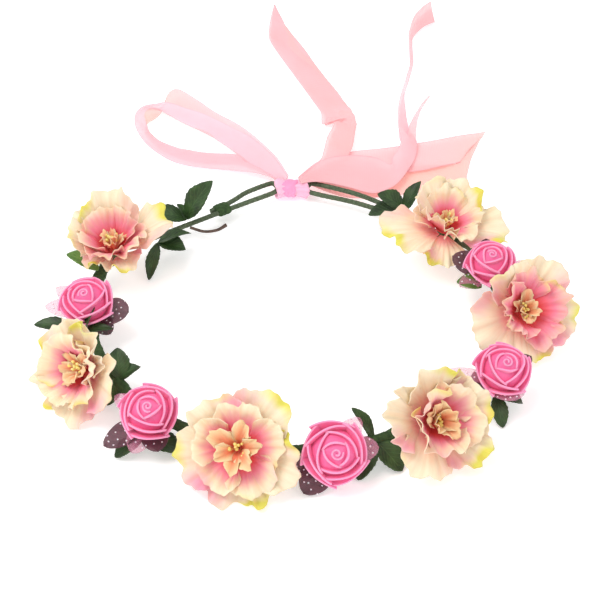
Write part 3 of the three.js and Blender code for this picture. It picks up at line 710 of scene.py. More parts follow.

# %% [markdown]
# A foam rose is cut from EVA foam sheet and rolled: a tight bud, then rings of broad petals,
# each overlapping the next. The foam is matt and even. The light its cut rims catch is painted on
# as a paler pink, and the gaps between the petals carry painted shade, a deeper pink, for the
# light that bounces from foam to foam.

# %% EVA foam
def eva_foam():
    """Pink with paler cut rims as a painted highlight and deeper gaps as painted shade, both painted on the
    petals.
    """
    material, tree, shader = blank("eva_foam_sheet", 0.72, Subsurface_Weight=0.25,
                                   Subsurface_Scale=0.003, Subsurface_Radius=(1.0, 0.35, 0.5),
                                   Specular_IOR_Level=0.35, Sheen_Weight=0.1)
    rim, throat_dye_and_gap_shade = painted(tree)[:2]
    where = put(tree, "ShaderNodeTexCoord", out="Object")
    cloud = put(tree, NOISE, Vector=where, Scale=spots(6), Detail=3.0)
    share = put(tree, RAMP, stops=fade((0.3, 0), (0.7, 1)), i0=cloud)
    colour = put(tree, MIX, BLEND, out=2, i0=share, i6=linear("F985B2"), i7=linear("FB93BE"))
    # Painted shade: up to 0.65 of a deeper pink in the gaps, in the core and towards each petal's foot.
    throat_dye_and_gap_shade = put(tree, RAMP, stops=fade((0.3, 0), (1.0, 0.65)), i0=throat_dye_and_gap_shade)
    colour = put(tree, MIX, BLEND, out=2, i0=throat_dye_and_gap_shade, i6=colour, i7=linear("F5609A"))
    # Painted highlight: up to 0.55 of a paler pink on the cut rims, where they catch the light.
    rim = put(tree, RAMP, stops=fade((0.45, 0), (1.0, 0.55)), i0=rim)
    colour = put(tree, MIX, BLEND, out=2, i0=rim, i6=colour, i7=linear("FEAFD0"))
    # The foam's cells, 0.1 mm in life, are drawn at 0.5 mm so that the matt skin shows.
    cells = put(tree, NOISE, Vector=where, Scale=spots(0.5), Detail=2.0, Roughness=0.6)
    dress(tree, shader, colour, cells, 0.35, 0.12)
    return material


foam = eva_foam()
FOAM_T = 0.95
# Each ring: petals, radius at the rim, rim height, flare, width in degrees, start turn.
ROSE_RINGS = [
    (3, 4.3, 21.2, 0.1, 140, 10),
    (3, 7.2, 19.8, 0.2, 132, 70),
    (4, 10.0, 17.4, 0.3, 104, 20),
    (5, 11.9, 13.6, 0.6, 88, 66),
]
# The rolled core that fills the rose a few millimetres below the rims: radius, height.
ROSE_CORE = [(0.01, 20.6), (2.0, 20.4), (3.2, 19.4), (5.4, 18.2), (7.8, 16.0), (9.4, 12.6), (9.4, 10.6),
             (8.6, 9.3), (6.5, 7.5), (3.0, 6.2), (0.01, 6.0)]
# Each rose is turned this much more than the last, so that no two look alike.
ROSE_TURN, BUD_TURN = 31, 70
PETAL_FOOT, FOOT_RADIUS = 5.8, 2.0
BUD_FOOT, BUD_TOP, BUD_FALL = 17, 21.6, 0.6


def foam_petal(radius, height, flare, width_deg, rng, rows=16, cols=23):
    """A shell round the axis: its radius swells from the foot like a bowl, leans out and flares.
    It is flatter than a circle, so that neighbours cross in a point, and its rim is an arch
    that falls by a fifth at the sides."""
    down = np.concatenate([np.linspace(0, 0.9, rows - 3), [0.95, 0.98, 1.0]])
    v, u = np.meshgrid(down, np.linspace(-1, 1, cols), indexing="ij")
    z = PETAL_FOOT + (height - PETAL_FOOT) * v * (1 - 0.2 * np.abs(u) ** 2.4)
    bowl = 0.72 * np.sin(0.5 * math.pi * np.clip(v * 1.35, 0, 1)) ** 0.55 + 0.28 * v**2
    a = np.radians(width_deg / 2) * u * (0.8 + 0.2 * np.sin(math.pi * np.clip(v, 0, 0.6)))
    lean = 1 + 0.05 * u + 0.2 * a**2
    r = (FOOT_RADIUS + (radius - FOOT_RADIUS) * bowl) * lean + flare * np.clip(v - 0.7, 0, 1) ** 1.5 * 5
    r = r + 0.2 * np.sin(3 * u + rng.uniform(0, 6)) * v
    # Painted highlight on the cut rims: it rises to full at the top and side edges of the petal.
    rim = np.clip(np.maximum((v - 0.93) / 0.07, (np.abs(u) - 0.95) / 0.05), 0, 1)
    # Painted shade, strongest at the petal's foot inside the rose and gone by five sixths of the way up.
    throat_dye_and_gap_shade = np.clip(1.0 - 1.2 * v, 0, 1)
    return np.stack([r * np.cos(a), r * np.sin(a), z], -1), np.stack([rim, throat_dye_and_gap_shade, 0 * v], -1)


def rose_core():
    """The core's outline, given as radius and height, spun round the axis."""
    spin = np.linspace(0, 2 * math.pi, 32, endpoint=False)
    r, z = np.array(ROSE_CORE).T[..., None]
    return np.stack([r * np.cos(spin), r * np.sin(spin), z + 0 * spin], -1)


def rolled_bud():
    """Strip rolled by 2.9 pi, whose radius grows evenly with its turn as its top sinks."""
    a = np.linspace(0, 2.9 * math.pi, 44)
    v = np.linspace(0, 1, 6)[:, None]
    share = a / a[-1]
    z = BUD_FOOT + (BUD_TOP - BUD_FOOT - BUD_FALL * share) * v
    r = 0.4 + 2.2 * share + 0 * v
    # Painted highlight on the bud's top rim, and painted shade at half strength towards its foot.
    rim = np.clip((v - 0.75) / 0.25, 0, 1) + 0 * z
    return np.stack([r * np.cos(a), r * np.sin(a), z], -1), np.stack([rim, 0.5 * (1 - v) + 0 * z, 0 * z], -1)


# %% Build the five roses
for number, place in enumerate(rose_places, 1):
    rng = np.random.default_rng(40 + number)
    head = Sheets()
    core = rose_core()
    # The core is painted all over with the gap shade, as it lies deep inside the rose.
    head.add(placed(core, place), paint=np.full(core.shape, [0.0, 1.0, 0.0]), closed=True)
    bud, paint = rolled_bud()
    head.add(placed(turn_about_axis(bud, BUD_TURN * number), place), paint=paint)
    for count, radius, height, flare, width, start in ROSE_RINGS:
        for k in range(count):
            grid, paint = foam_petal(radius, height + rng.uniform(-0.4, 0.4), flare, width, rng)
            grid = turn_about_axis(grid, start + 360 * k / count + rng.uniform(-6, 6) + ROSE_TURN * number)
            head.add(placed(grid, place), paint=paint)
    piece = head.make(f"rose_{number}_foam", [foam])
    give_thickness(piece, FOAM_T, rounds=1)
    seat(piece, f"rose_{number}_head")
print("five roses made")

# %% [markdown]
# Leaves are the same stiffened cloth, printed green and waxed, with a wired midrib pressed in.
# The blade is a pointed oval with small teeth, folded a little along the rib and arched down.

# %% Leaf cloth
SIDE_VEINS = 8


def waxed_leaf(name, dark, light, vein):
    """Veins follow the blade: a midrib, and side veins that climb towards the rim."""
    material, tree, shader = blank(name, 0.5, Specular_IOR_Level=0.4, Coat_Weight=0.12,
                                   Coat_Roughness=0.35)
    where = put(tree, "ShaderNodeTexCoord", out="Object")
    uv = put(tree, "ShaderNodeUVMap", {"uv_map": "along"})
    split = put(tree, "ShaderNodeSeparateXYZ", Vector=uv).node
    across = put(tree, MATH, {"operation": "SUBTRACT"}, i0=split.outputs[0], i1=0.5)
    across = put(tree, MATH, {"operation": "ABSOLUTE"}, i0=across)
    climb = put(tree, MATH, SUM, i0=across, i1=-0.7, i2=split.outputs[1])
    wave = put(tree, MATH, {"operation": "MULTIPLY"}, i0=climb, i1=SIDE_VEINS * 2 * math.pi)
    wave = put(tree, MATH, {"operation": "SINE"}, i0=wave)
    side_vein = put(tree, RAMP, stops=fade((0.86, 0), (1.0, 1)), i0=wave)
    midrib = put(tree, RAMP, stops=fade((0.0, 1), (0.045, 0)), i0=across)
    veins_and_groove_shade = put(tree, MATH, {"operation": "MAXIMUM"}, i0=side_vein, i1=midrib)
    cloud = put(tree, NOISE, Vector=where, Scale=spots(5), Detail=4.0)
    share = put(tree, RAMP, stops=fade((0.3, 0), (0.72, 1)), i0=cloud)
    colour = put(tree, MIX, BLEND, out=2, i0=share, i6=linear(dark), i7=linear(light))
    faint = put(tree, RAMP, stops=fade((0, 0), (1, 0.3)), i0=veins_and_groove_shade)
    colour = put(tree, MIX, BLEND, out=2, i0=faint, i6=colour, i7=linear(vein))
    # Threads 0.2 mm apart are drawn as a grain of 0.7 mm.
    grain = put(tree, NOISE, Vector=where, Scale=spots(0.7), Detail=2.0)
    height = put(tree, MATH, SUM, i0=grain, i1=0.3, i2=veins_and_groove_shade)
    dress(tree, shader, colour, height, 0.5, 0.25)
    return material


LEAF_CLOTH = {"dark": waxed_leaf("waxed_leaf_dark", "1F3318", "3B5A2C", "587A45"),
              "light": waxed_leaf("waxed_leaf_light", "4C7430", "6B9140", "8FAE60")}


def leaf(root, turn, rise, length, width, tilt, rng, rows=30, cols=13, teeth=8):
    """Pointed oval from root: the half width is width / 2 * sin(pi v^1.12)^0.62 with teeth on
    the rim, folded along the rib, and the rib arches down by up to a sixth of its length."""
    v, u = np.meshgrid(np.linspace(0, 1, rows), np.linspace(-1, 1, cols), indexing="ij")
    ahead = heading(turn, rise)
    side = unit(np.cross(ahead, [0.0, 0.0, 1.0]))
    up = np.cross(side, ahead)
    t = math.radians(tilt)
    side, up = side * math.cos(t) + up * math.sin(t), up * math.cos(t) - side * math.sin(t)
    half = 0.5 * width * np.maximum(np.sin(math.pi * v**1.12), 0) ** 0.62 * (1 - 0.25 * v**4) + 0.3 * (1 - v)
    saw = (v * teeth) % 1
    half = half * (1 + 0.1 * saw * (v > 0.2) * (np.abs(u) > 0.99))
    twist = rng.uniform(-0.35, 0.35) * v
    arch = -rng.uniform(0.05, 0.17) * length * v**2 + 0.05 * length * np.sin(math.pi * v)
    fold = 0.28 * half * np.abs(u) ** 1.3
    y = half * u * np.cos(twist)
    z = arch + fold + half * u * np.sin(twist) + 0.35 * np.sin(7 * v + 3 * u) * np.abs(u)
    grid = root + (length * v)[..., None] * ahead + y[..., None] * side + z[..., None] * up
    return grid[:, ::-1]


# %% Where the sprigs stand
KNOT_HALF = (knot_high[0] - knot_low[0]) / 2
# The hairpin loops: the gap to the knot, their width beside it and their width in the collar.
LOOP_GAP, LOOP_WIDTH, LOOP_CLOSE = 0.3, 8.0, 3.4
# How far a straight run bows outwards, and where along it the collar sits.
RUN_BOW = {"left": 1.0, "right": 7.0}
COLLAR_SHARE = {"left": 0.69, "right": 0.5}


def run_point(side, share, out=0.0, up=0.0):
    """Point on the straight run from the ring's end to the wire loop beside the knot."""
    sign = 1 if side == "right" else -1
    start = ring_point(sign * RING_END_TURN)
    end = KNOT + [sign * (KNOT_HALF + WIRE_R + LOOP_GAP + 2), -LOOP_WIDTH / 2, 0]
    run = end - start
    outward = unit(np.array([-run[1], run[0], 0.0]))
    outward = outward if outward[1] > 0 else -outward
    swell = RUN_BOW[side] * math.sin(math.pi * share) + out
    return start + share * run + swell * outward + [0, 0, up]


# Each sprig: its cloth, where its stem leaves the ring, and its leaves, each with its
# heading, rise, length, width and tilt.
SPRIGS = [
    ("dark", run_point("left", 0.46, 0, 3.8),
     [(95, 63, 25, 11, -35), (-85, 20, 18, 9, 20), (-112, 60, 9, 6, 0)]),
    ("dark", run_point("left", 0.24, -5.8, 1),
     [(105, 13, 17, 10, 10), (79, -4, 14, 10, 0), (-11, -17, 21, 6, 0)]),
    ("light", ring_point(-102, 0.3, 4), [(-110, 23, 17, 10, 0)]),
    ("dark", ring_point(-76.8, 6, 2), [(-102, 11, 22, 8, 0), (124, 62, 15, 8, 0), (85, 21, 16, 6, 0)]),
    ("dark", ring_point(-56, -0.5, 2), [(-174, 47, 14, 10, 0), (107, 32, 11, 8, 0), (-32, -31, 13, 9, 0)]),
    ("dark", ring_point(-37.5, 14.4, -3), [(-67, -16, 14, 8, 0), (87, -14, 21, 13, 0)]),
    ("dark", ring_point(20.5, 0, 0), [(-116, 61, 18, 6, 0), (-23, -23, 20, 11, 0), (51, -26, 19, 12, 0)]),
    ("dark", ring_point(56.3, 11.2, -2), [(10, -21, 17, 7, 0), (82, -9, 13, 9, 0)]),
    ("dark", ring_point(122.5, -0.9, 2), [(-23, -27, 15, 8, 0), (-62, -19, 12, 8, 0)]),
    ("light", ring_point(96.3, -7.7, 2), [(-103, 9, 12, 9, 0)]),
    ("dark", run_point("right", 0.48, 0, 3.9),
     [(-83, 3, 18, 12, 0), (-105, 38, 16, 11, 0), (133, 57, 17, 7, 0)]),
]
LEAF_T = 0.4
# A leaf's stalk: how far it runs under the blade, and its radius at both ends.
STALK_SHARE, STALK_RADII = 0.6, (0.55, 0.2)

# %% Build the leaf sprigs
for number, (shade, root, leaves) in enumerate(SPRIGS, 1):
    rng = np.random.default_rng(70 + number)
    sprig = Sheets()
    for turn, rise, length, width, tilt in leaves:
        blade = leaf(root, turn, rise, length, width, tilt, rng)
        sprig.add(above_table(blade, TABLE_REST, TABLE_EASE), thickness=LEAF_T)
        stalk = root + np.linspace(0, STALK_SHARE * length, 8)[:, None] * heading(turn, rise)
        sprig.add(tube(stalk, np.linspace(*STALK_RADII, 8), 6), closed=True)
    piece = sprig.make(f"leaves_{number}", [LEAF_CLOTH[shade]])
    seat(piece, f"leaf_sprig_{number}")
print("leaf sprigs made")

# %% [markdown]
# Behind each rose is a ruff of nylon net with raised white dots. Where it lies on a dark leaf
# it reads as plum, and where it stands free it is a pale see-through pink.

# %% Dotted net
def dotted_net(name, dark, light, thread, alpha):
    """See-through cloth with paler threads."""
    material, tree, shader = blank(name, 0.6, Alpha=alpha, Sheen_Weight=0.2)
    where = put(tree, "ShaderNodeTexCoord", out="Object")
    # The net's mesh is 0.5 mm in life; it is drawn at 1 mm.
    threads = put(tree, "ShaderNodeTexWave", {"bands_direction": "DIAGONAL"}, out="Fac",
                  Vector=stretched_uv(tree, 9, 9), Scale=1.0)
    cloud = put(tree, NOISE, Vector=where, Scale=spots(4), Detail=3.0)
    share = put(tree, RAMP, stops=fade((0.3, 0), (0.75, 1)), i0=cloud)
    tone = put(tree, MIX, BLEND, out=2, i0=share, i6=linear(dark), i7=linear(light))
    share = put(tree, RAMP, stops=fade((0.55, 0), (0.9, 0.35)), i0=threads)
    tone = put(tree, MIX, BLEND, out=2, i0=share, i6=tone, i7=linear(thread))
    dress(tree, shader, tone, threads, 0.4, 0.2)
    return material


net_plum = dotted_net("dotted_net_plum", "4A2530", "6B3A48", "8A5262", 0.8)
net_pink = dotted_net("dotted_net_pink", "E68DB0", "F0A7C4", "FBD3E2", 0.33)
dot_plastic = moulded("flocked_dot", "FFFFFF", "F6E6EE", 0.7, 1.0)

# Each net leaf's turn round the rose's axis from its right, lift, reach, width and cloth.
RUFFS = [
    [(165, 20, 19, 9, "pink"), (194, 12, 21, 10, "pink"), (4, 18, 20, 15, "plum"), (-35, 8, 18, 10, "plum")],
    [(214, 3, 24, 11, "plum"), (246, 3, 18, 11, "pink"), (284, 12, 17, 12, "plum"),
     (150, 12, 18, 9, "pink")],
    [(230, 8, 20, 13, "plum"), (204, 8, 18, 11, "plum"), (48, 12, 17, 9, "pink"), (2, 10, 18, 11, "pink")],
    [(174, 24, 28, 7, "pink"), (204, 14, 20, 9, "plum"), (272, 40, 16, 15, "pink"), (20, 14, 17, 9, "plum")],
    [(160, 14, 20, 14, "plum"), (214, 10, 19, 10, "pink"), (2, 20, 22, 7, "pink"), (95, 20, 17, 10, "plum")],
]
NET_START, NET_HEIGHT, NET_T = 5.5, 5.2, 0.2
DOT_SPACING, DOT_R = 3.6, 0.5


def net_leaf(turn, lift, reach, width, rng, rows=20, cols=13):
    """Rounded oval in the rose's own frame. From NET_START beside the axis it climbs by lift
    degrees until it is reach mm out. Its half width is width / 2 * sin(pi w)^0.55, where w runs
    from 0.13 at its gathered foot to 1 at its tip, and it is cupped across and crumpled."""
    v, u = np.meshgrid(np.linspace(0, 1, rows), np.linspace(-1, 1, cols), indexing="ij")
    half = 0.5 * width * np.maximum(np.sin(math.pi * (0.1 + 0.9 * v) ** 0.9), 0) ** 0.55
    out = NET_START + (reach - NET_START) * v
    y = half * u
    z = NET_HEIGHT + (out - NET_START) * math.tan(math.radians(lift)) + 0.6 * (y / width * 2) ** 2
    z = z + 0.35 * v * np.sin(6 * v + 4 * u + rng.uniform(0, 6))
    return turn_about_axis(np.stack([out, y, z], -1), turn)


def scattered_dots(sheets, grid, rng, kind):
    """Raised dots on a grid surface, DOT_SPACING apart, as low many-sided grains."""
    rows, cols = grid.shape[:2]
    length = np.linalg.norm(grid[-1, cols // 2] - grid[0, cols // 2])
    width = np.linalg.norm(grid[rows // 2, -1] - grid[rows // 2, 0])
    down, across = max(3, round(length / DOT_SPACING)), max(2, round(width / DOT_SPACING))
    for i in range(1, down):
        for j in range(across):
            row = (i + rng.uniform(-0.2, 0.2)) / down * (rows - 1)
            col = (j + 0.5 * (i % 2) + rng.uniform(0.1, 0.4)) / across * (cols - 1)
            spot = grid[min(round(row), rows - 1), min(round(col), cols - 1)]
            sheets.add(bead(spot, DOT_R, stretch=0.8, rows=4, cols=6), closed=True, kind=kind)


# %% Build the ruffs
NETS = [net_plum, net_pink, dot_plastic]
for number, (place, ruff) in enumerate(zip(rose_places, RUFFS), 1):
    rng = np.random.default_rng(90 + number)
    net = Sheets()
    for turn, lift, reach, width, cloth in ruff:
        grid = placed(net_leaf(turn, lift, reach, width, rng), place)
        net.add(grid, kind=0 if cloth == "plum" else 1, thickness=NET_T)
        scattered_dots(net, grid, rng, 2)
    piece = net.make(f"rose_{number}_net", NETS)
    seat(piece, f"rose_{number}_tulle")
print("net ruffs made")

# %% [markdown]
# The ring is soft iron wire wound with green paper, and over the flowers' stems the maker has
# wound floral tape: crepe paper with wax in it, lumpy where stems lie under it. The two end
# loops are the bare paper-covered wire, closed by a few more turns of tape.

# %% Paper and tape
def wound_paper(name, light, dark, fibre_mm):
    """Matt paper with blotchy fibres."""
    material, tree, shader = blank(name, 0.85, Specular_IOR_Level=0.25)
    where = put(tree, "ShaderNodeTexCoord", out="Object")
    fibre = put(tree, NOISE, Vector=where, Scale=spots(fibre_mm), Detail=4.0, Roughness=0.6)
    share = put(tree, RAMP, stops=fade((0.3, 0), (0.7, 1)), i0=fibre)
    tone = put(tree, MIX, BLEND, out=2, i0=share, i6=linear(dark), i7=linear(light))
    dress(tree, shader, tone, fibre, 0.5, 0.3)
    return material


paper_wire = wound_paper("wound_paper_wire", "67765C", "454F3D", 1.0)
crepe_tape = wound_paper("waxed_crepe_tape", "466038", "2B3F27", 1.6)
calyx_plastic = moulded("moulded_calyx", "5E7C38", "41592B", 0.55, 3.0)
twig_plastic = moulded("moulded_stem", "6B5346", "40312A", 0.6, 2.0)
for node in [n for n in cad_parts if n.endswith("_calyx")]:
    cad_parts[node].data.materials[0] = calyx_plastic

# %% Wire ring
# The paper strip's edge stands up by PAPER_EDGE once in each PAPER_PITCH mm.
PAPER_EDGE, PAPER_PITCH = 0.14, 3.0
PAPER_FOOT = WIRE_R - 0.12


def loop_path(side):
    """Out along the inner strand, round beside the knot and back along the outer strand."""
    sign = 1 if side == "right" else -1
    tip = KNOT + [sign * (KNOT_HALF + WIRE_R + LOOP_GAP), 0, 0]
    half = LOOP_WIDTH / 2
    collar = COLLAR_SHARE[side]
    beyond = 1 - collar
    return [
        run_point(side, collar - 0.04), run_point(side, collar + 0.5 * beyond),
        run_point(side, collar + 0.9 * beyond),
        tip + [sign * 1, -half * 0.7, 0], tip, tip + [sign * 1, half * 0.7, 0], tip + [sign * 4, half, 0],
        run_point(side, collar + 0.64 * beyond, LOOP_WIDTH * 0.95),
        run_point(side, collar + 0.32 * beyond, LOOP_WIDTH * 0.65),
        run_point(side, collar, LOOP_CLOSE), run_point(side, collar - 0.06, LOOP_CLOSE),
    ]


round_part = [ring_point(t) for t in np.linspace(-RING_END_TURN, RING_END_TURN, 29)]
ring_line = [run_point("left", COLLAR_SHARE["left"] + 0.02), run_point("left", 0.25), *round_part,
             run_point("right", 0.25), run_point("right", COLLAR_SHARE["right"] + 0.02)]
wire = Sheets()
for line, count in ((ring_line, 520), (loop_path("left"), 150), (loop_path("right"), 150)):
    wire.add(tube(smooth_path(line, count), PAPER_FOOT, 12, PAPER_EDGE, PAPER_PITCH), closed=True)
piece = wire.make("paper_covered_wire", [paper_wire])
seat(piece, "wire_ring")
print("wire", round(path_length(smooth_path(ring_line, 520))[-1]), "mm round")

# %% Floral tape
# The taped arc's end turn, the tape's edge and its pitch, and the points along the winding.
TAPE_END_TURN, TAPE_EDGE, TAPE_PITCH, TAPE_POINTS = 109, 0.28, 5.0, 620
tape_line = smooth_path([ring_point(t) for t in np.linspace(-TAPE_END_TURN, TAPE_END_TURN, 40)], TAPE_POINTS)
# Two slow waves of the radius stand for the stems that lie under the tape.
lumps = 0.35 * np.sin(np.linspace(0, 61, TAPE_POINTS)) + 0.2 * np.sin(np.linspace(2, 173, TAPE_POINTS))
tape = Sheets()
tape.add(tube(tape_line, TAPE_R - 0.3 + lumps, 16, TAPE_EDGE, TAPE_PITCH), closed=True)
piece = tape.make("floral_tape_winding", [crepe_tape])
seat(piece, "floral_tape")

# Each collar is a short tube with rounded ends, widened sideways to hold both strands.
COLLAR_HALF, COLLAR_R, COLLAR_WIDER, COLLAR_POINTS = 4.2, 2.5, 0.55, 26
for side, share in COLLAR_SHARE.items():
    ahead = unit(run_point(side, share + 0.02) - run_point(side, share - 0.02))
    middle = run_point(side, share, LOOP_CLOSE / 2)
    along = np.linspace(-1, 1, COLLAR_POINTS)
    radius = COLLAR_R * np.sqrt(np.clip(1.02 - along**6, 0.05, 1))
    body = tube(middle + COLLAR_HALF * along[:, None] * ahead, radius, 20, 0.25, 2.0)
    across = unit(np.cross(ahead, [0.0, 0.0, 1.0]))
    collar = Sheets()
    collar.add(body + COLLAR_WIDER * ((body - middle) @ across)[..., None] * across, closed=True)
    piece = collar.make(f"collar_winding_{side}", [crepe_tape])
    seat(piece, f"tape_collar_{side}")
print("tape and collars made")

# %% Bare stem end
TWIG_FOOT = run_point("left", 0.46, -2.6)
TWIG_BENDS = [(0, 0, 0), (7, -1.4, -1.5), (13.5, -0.2, -1.5), (18, 2.6, -0.5)]
TWIG_R, TWIG_POINTS = 0.75, 30
twig_line = smooth_path([TWIG_FOOT + bend for bend in TWIG_BENDS], TWIG_POINTS)
# The cut end is a little swollen.
twig_radius = TWIG_R + 0.25 * np.linspace(0, 1, TWIG_POINTS) ** 6
twig = Sheets()
twig.add(tube(twig_line, twig_radius, 10), closed=True)
piece = twig.make("bare_stem_end", [twig_plastic])
seat(piece, "stem_end")
print("stem end made")

# %% [markdown]
# The ribbon is sheer nylon organza 25 mm wide, so thin that one layer lets the table show and
# two layers read as a stronger pink. It is folded and gathered as it nears the knot. Each part
# is one sheet stretched between rails, which are given curves from the knot outwards: the
# two rims of the ribbon, and where it is folded lengthwise, the fold between them.

# %% Organza
def organza(name, light, dark, peach, alpha):
    """Sheer woven nylon; the painted amounts make it rosier or more peach, and pale its rims."""
    # A little emission stands for the light that comes through so thin a cloth from behind.
    material, tree, shader = blank(name, 0.42, Alpha=alpha, Sheen_Weight=0.2, Sheen_Roughness=0.3,
                                   Specular_IOR_Level=0.4, Emission_Strength=0.1,
                                   Emission_Color=linear("FFB9C4"))
    where = put(tree, "ShaderNodeTexCoord", out="Object")
    # Threads 0.15 mm apart are drawn as ribs 0.9 mm apart along and across the ribbon.
    warp = put(tree, "ShaderNodeTexWave", {"bands_direction": "X"}, out="Fac",
               Vector=stretched_uv(tree, 9, 0), Scale=1.0)
    weft = put(tree, "ShaderNodeTexWave", {"bands_direction": "Y"}, out="Fac",
               Vector=stretched_uv(tree, 0, 70), Scale=1.0)
    weave = put(tree, MATH, {"operation": "MULTIPLY"}, i0=warp, i1=weft)
    rosy, warm, rim = painted(tree)
    cloud = put(tree, NOISE, Vector=where, Scale=spots(18), Detail=3.0)
    shaken = put(tree, MATH, SUM, i0=cloud, i1=0.6, i2=rosy)
    share = put(tree, RAMP, stops=fade((0.2, 0), (1.0, 1)), i0=shaken)
    colour = put(tree, MIX, BLEND, out=2, i0=share, i6=linear(light), i7=linear(dark))
    colour = put(tree, MIX, BLEND, out=2, i0=warm, i6=colour, i7=linear(peach))
    share = put(tree, RAMP, stops=fade((0, 0), (1, 0.2)), i0=weave)
    colour = put(tree, MIX, BLEND, out=2, i0=share, i6=colour, i7=linear("FFE3EA"))
    share = put(tree, RAMP, stops=fade((0.2, 0), (1, 0.6)), i0=rim)
    colour = put(tree, MIX, BLEND, out=2, i0=share, i6=colour, i7=linear("FBB6C2"))
    dress(tree, shader, colour, weave, 0.25, 0.1)
    return material


organza_sheet = organza("nylon_organza", "FDDCE8", "FDC9CE", "FECBB6", 0.6)
organza_knot = organza("nylon_organza_gathered", "FBC4DD", "F99CCB", "F97FB4", 0.92)

# %% Ribbon surface
RIBBON_WIDTH, RIBBON_T = 25.0, 0.25
RIBBON_REST, RIBBON_EASE = 0.5, 0.9


def rail(points, rows):
    """Catmull-Rom curve through a rail's points, at rows evenly spaced stations of its index.
    Points are in mm from the knot's centre across the table, with the height above the table."""
    stations = np.linspace(0, len(points) - 1, rows)
    return catmull_rom(np.asarray(points, float) + [KNOT[0], KNOT[1], 0], stations)


def ribbon(sheets, rails, rng, tint, rows=150, cols=13, pleat=0.5, gather=0.12, wave=0.5):
    """Closed thin sheet between neighbouring rails, each leaf cols points wide.

    A leaf runs straight from rail to rail. Off the leaf a point moves by wave * sin of a slow
    ripple along and across, and by pleat * cos(6 pi u), which fades out at the share gather of
    the length from the knot. tint gives each leaf's rosy and peach amounts at stations spread
    evenly along it. Returns the length of the sheet's middle line in mm.
    """
    lines = [rail(r, rows) for r in rails]
    share = np.concatenate([[0, 0.012], np.linspace(0.06, 0.94, cols - 4), [0.988, 1]])
    t = share[None, :, None]
    leaves = [a[:, None] * (1 - t) + b[:, None] * t for a, b in zip(lines, lines[1:])]
    grid = np.concatenate([leaf[:, (1 if k else 0):] for k, leaf in enumerate(leaves)], 1)
    s = np.linspace(0, 1, rows)[:, None]
    u = np.concatenate([share[(1 if k else 0):] + k for k in range(len(leaves))])[None]
    normal = unit(np.cross(np.gradient(grid, axis=1), np.gradient(grid, axis=0)))
    phase = rng.uniform(0, 6.28, 3)
    ease = np.sin(math.pi * np.clip(s / 0.06, 0, 0.5))
    off = wave * np.sin(math.pi * (u % 1)) * np.sin(23 * s + 2.5 * u + phase[0]) * ease
    off = off + 0.4 * wave * np.sin(51 * s + 7 * u + phase[1]) * ease
    off = off + pleat * np.cos(6 * math.pi * u + phase[2]) * np.exp(-(s / gather) ** 2)
    grid = above_table(grid + off[..., None] * normal, RIBBON_REST, RIBBON_EASE)

    which = np.minimum(u[0].astype(int), len(leaves) - 1)
    paint = np.zeros((*grid.shape[:2], 3))
    for channel in (0, 1):
        levels = [np.interp(s[:, 0], np.linspace(0, 1, len(one[channel])), one[channel]) for one in tint]
        paint[..., channel] = np.array(levels)[which].T
    paint[..., 2] = np.clip(1 - np.minimum(u, len(leaves) - u) / 0.06, 0, 1)
    sheets.add(grid, uv=np.stack([u + 0 * s, s + 0 * u], -1), paint=paint, thickness=RIBBON_T)
    return path_length(grid.mean(1))[-1]


# %% The rails of the two loops and the two tails
LEFT_LOOP = [
    [(-4.6, 0.4, 7), (-10.6, 9.3, 6), (-20.6, 14.8, 5), (-30.6, 18.5, 4), (-44, 20.9, 3.5), (-55.5, 24.8, 3),
     (-65.8, 30.6, 3), (-75, 39.7, 3.5), (-81.7, 50.6, 5), (-84.7, 59.8, 6.5), (-84, 67.4, 7.5),
     (-79.8, 72.8, 8), (-73.6, 74.4, 8.5), (-67.1, 74.4, 9), (-57.9, 69.5, 9), (-48, 64, 9),
     (-37.5, 55.5, 9),
     (-29.2, 48.3, 9), (-22.3, 42.4, 9), (-15.5, 33.1, 9), (-8, 20.4, 9), (-2.5, 5.7, 9)],
    [(-3.6, 4.3, 5), (-8.3, 13.7, 4), (-17.4, 23.7, 3), (-28.3, 34.4, 2.5), (-41.9, 36.6, 2),
     (-53.5, 40, 1.5),
     (-62.8, 43.5, 1.5), (-70.5, 48.9, 1.5), (-76.2, 56.1, 2), (-78.5, 62.5, 3), (-80, 70.2, 4),
     (-77.9, 75.6, 4), (-73.1, 76.3, 3), (-68, 73.1, 2), (-60.5, 67.5, 1.5), (-51.6, 59.9, 1.5),
     (-42.4, 52.1, 1.5), (-34.6, 43.1, 2), (-27.6, 33, 2.5), (-18.7, 21.2, 3.5), (-9.9, 11.9, 4.5),
     (-3.2, 3.1, 6)],
    [(-4, 8.4, 3), (-9.7, 15.9, 2), (-19.4, 22.7, 1.2), (-29.5, 27.6, 1), (-43.3, 28.5, 0.8),
     (-54.5, 30.8, 0.8), (-64.5, 36.6, 0.8), (-73.1, 45.4, 0.8), (-78.7, 55.2, 1), (-78.5, 65.1, 1.2),
     (-74.4, 69.6, 1.5), (-71.3, 74.4, 2), (-70, 79.8, 3.5), (-67.5, 88.3, 6), (-62.2, 89, 8),
     (-52.1, 79, 8),
     (-42, 67.3, 8), (-30.1, 56.4, 8), (-21.7, 46.2, 8), (-14.8, 36.2, 8), (-7.5, 23.5, 8), (-1.9, 8.8, 8)],
]
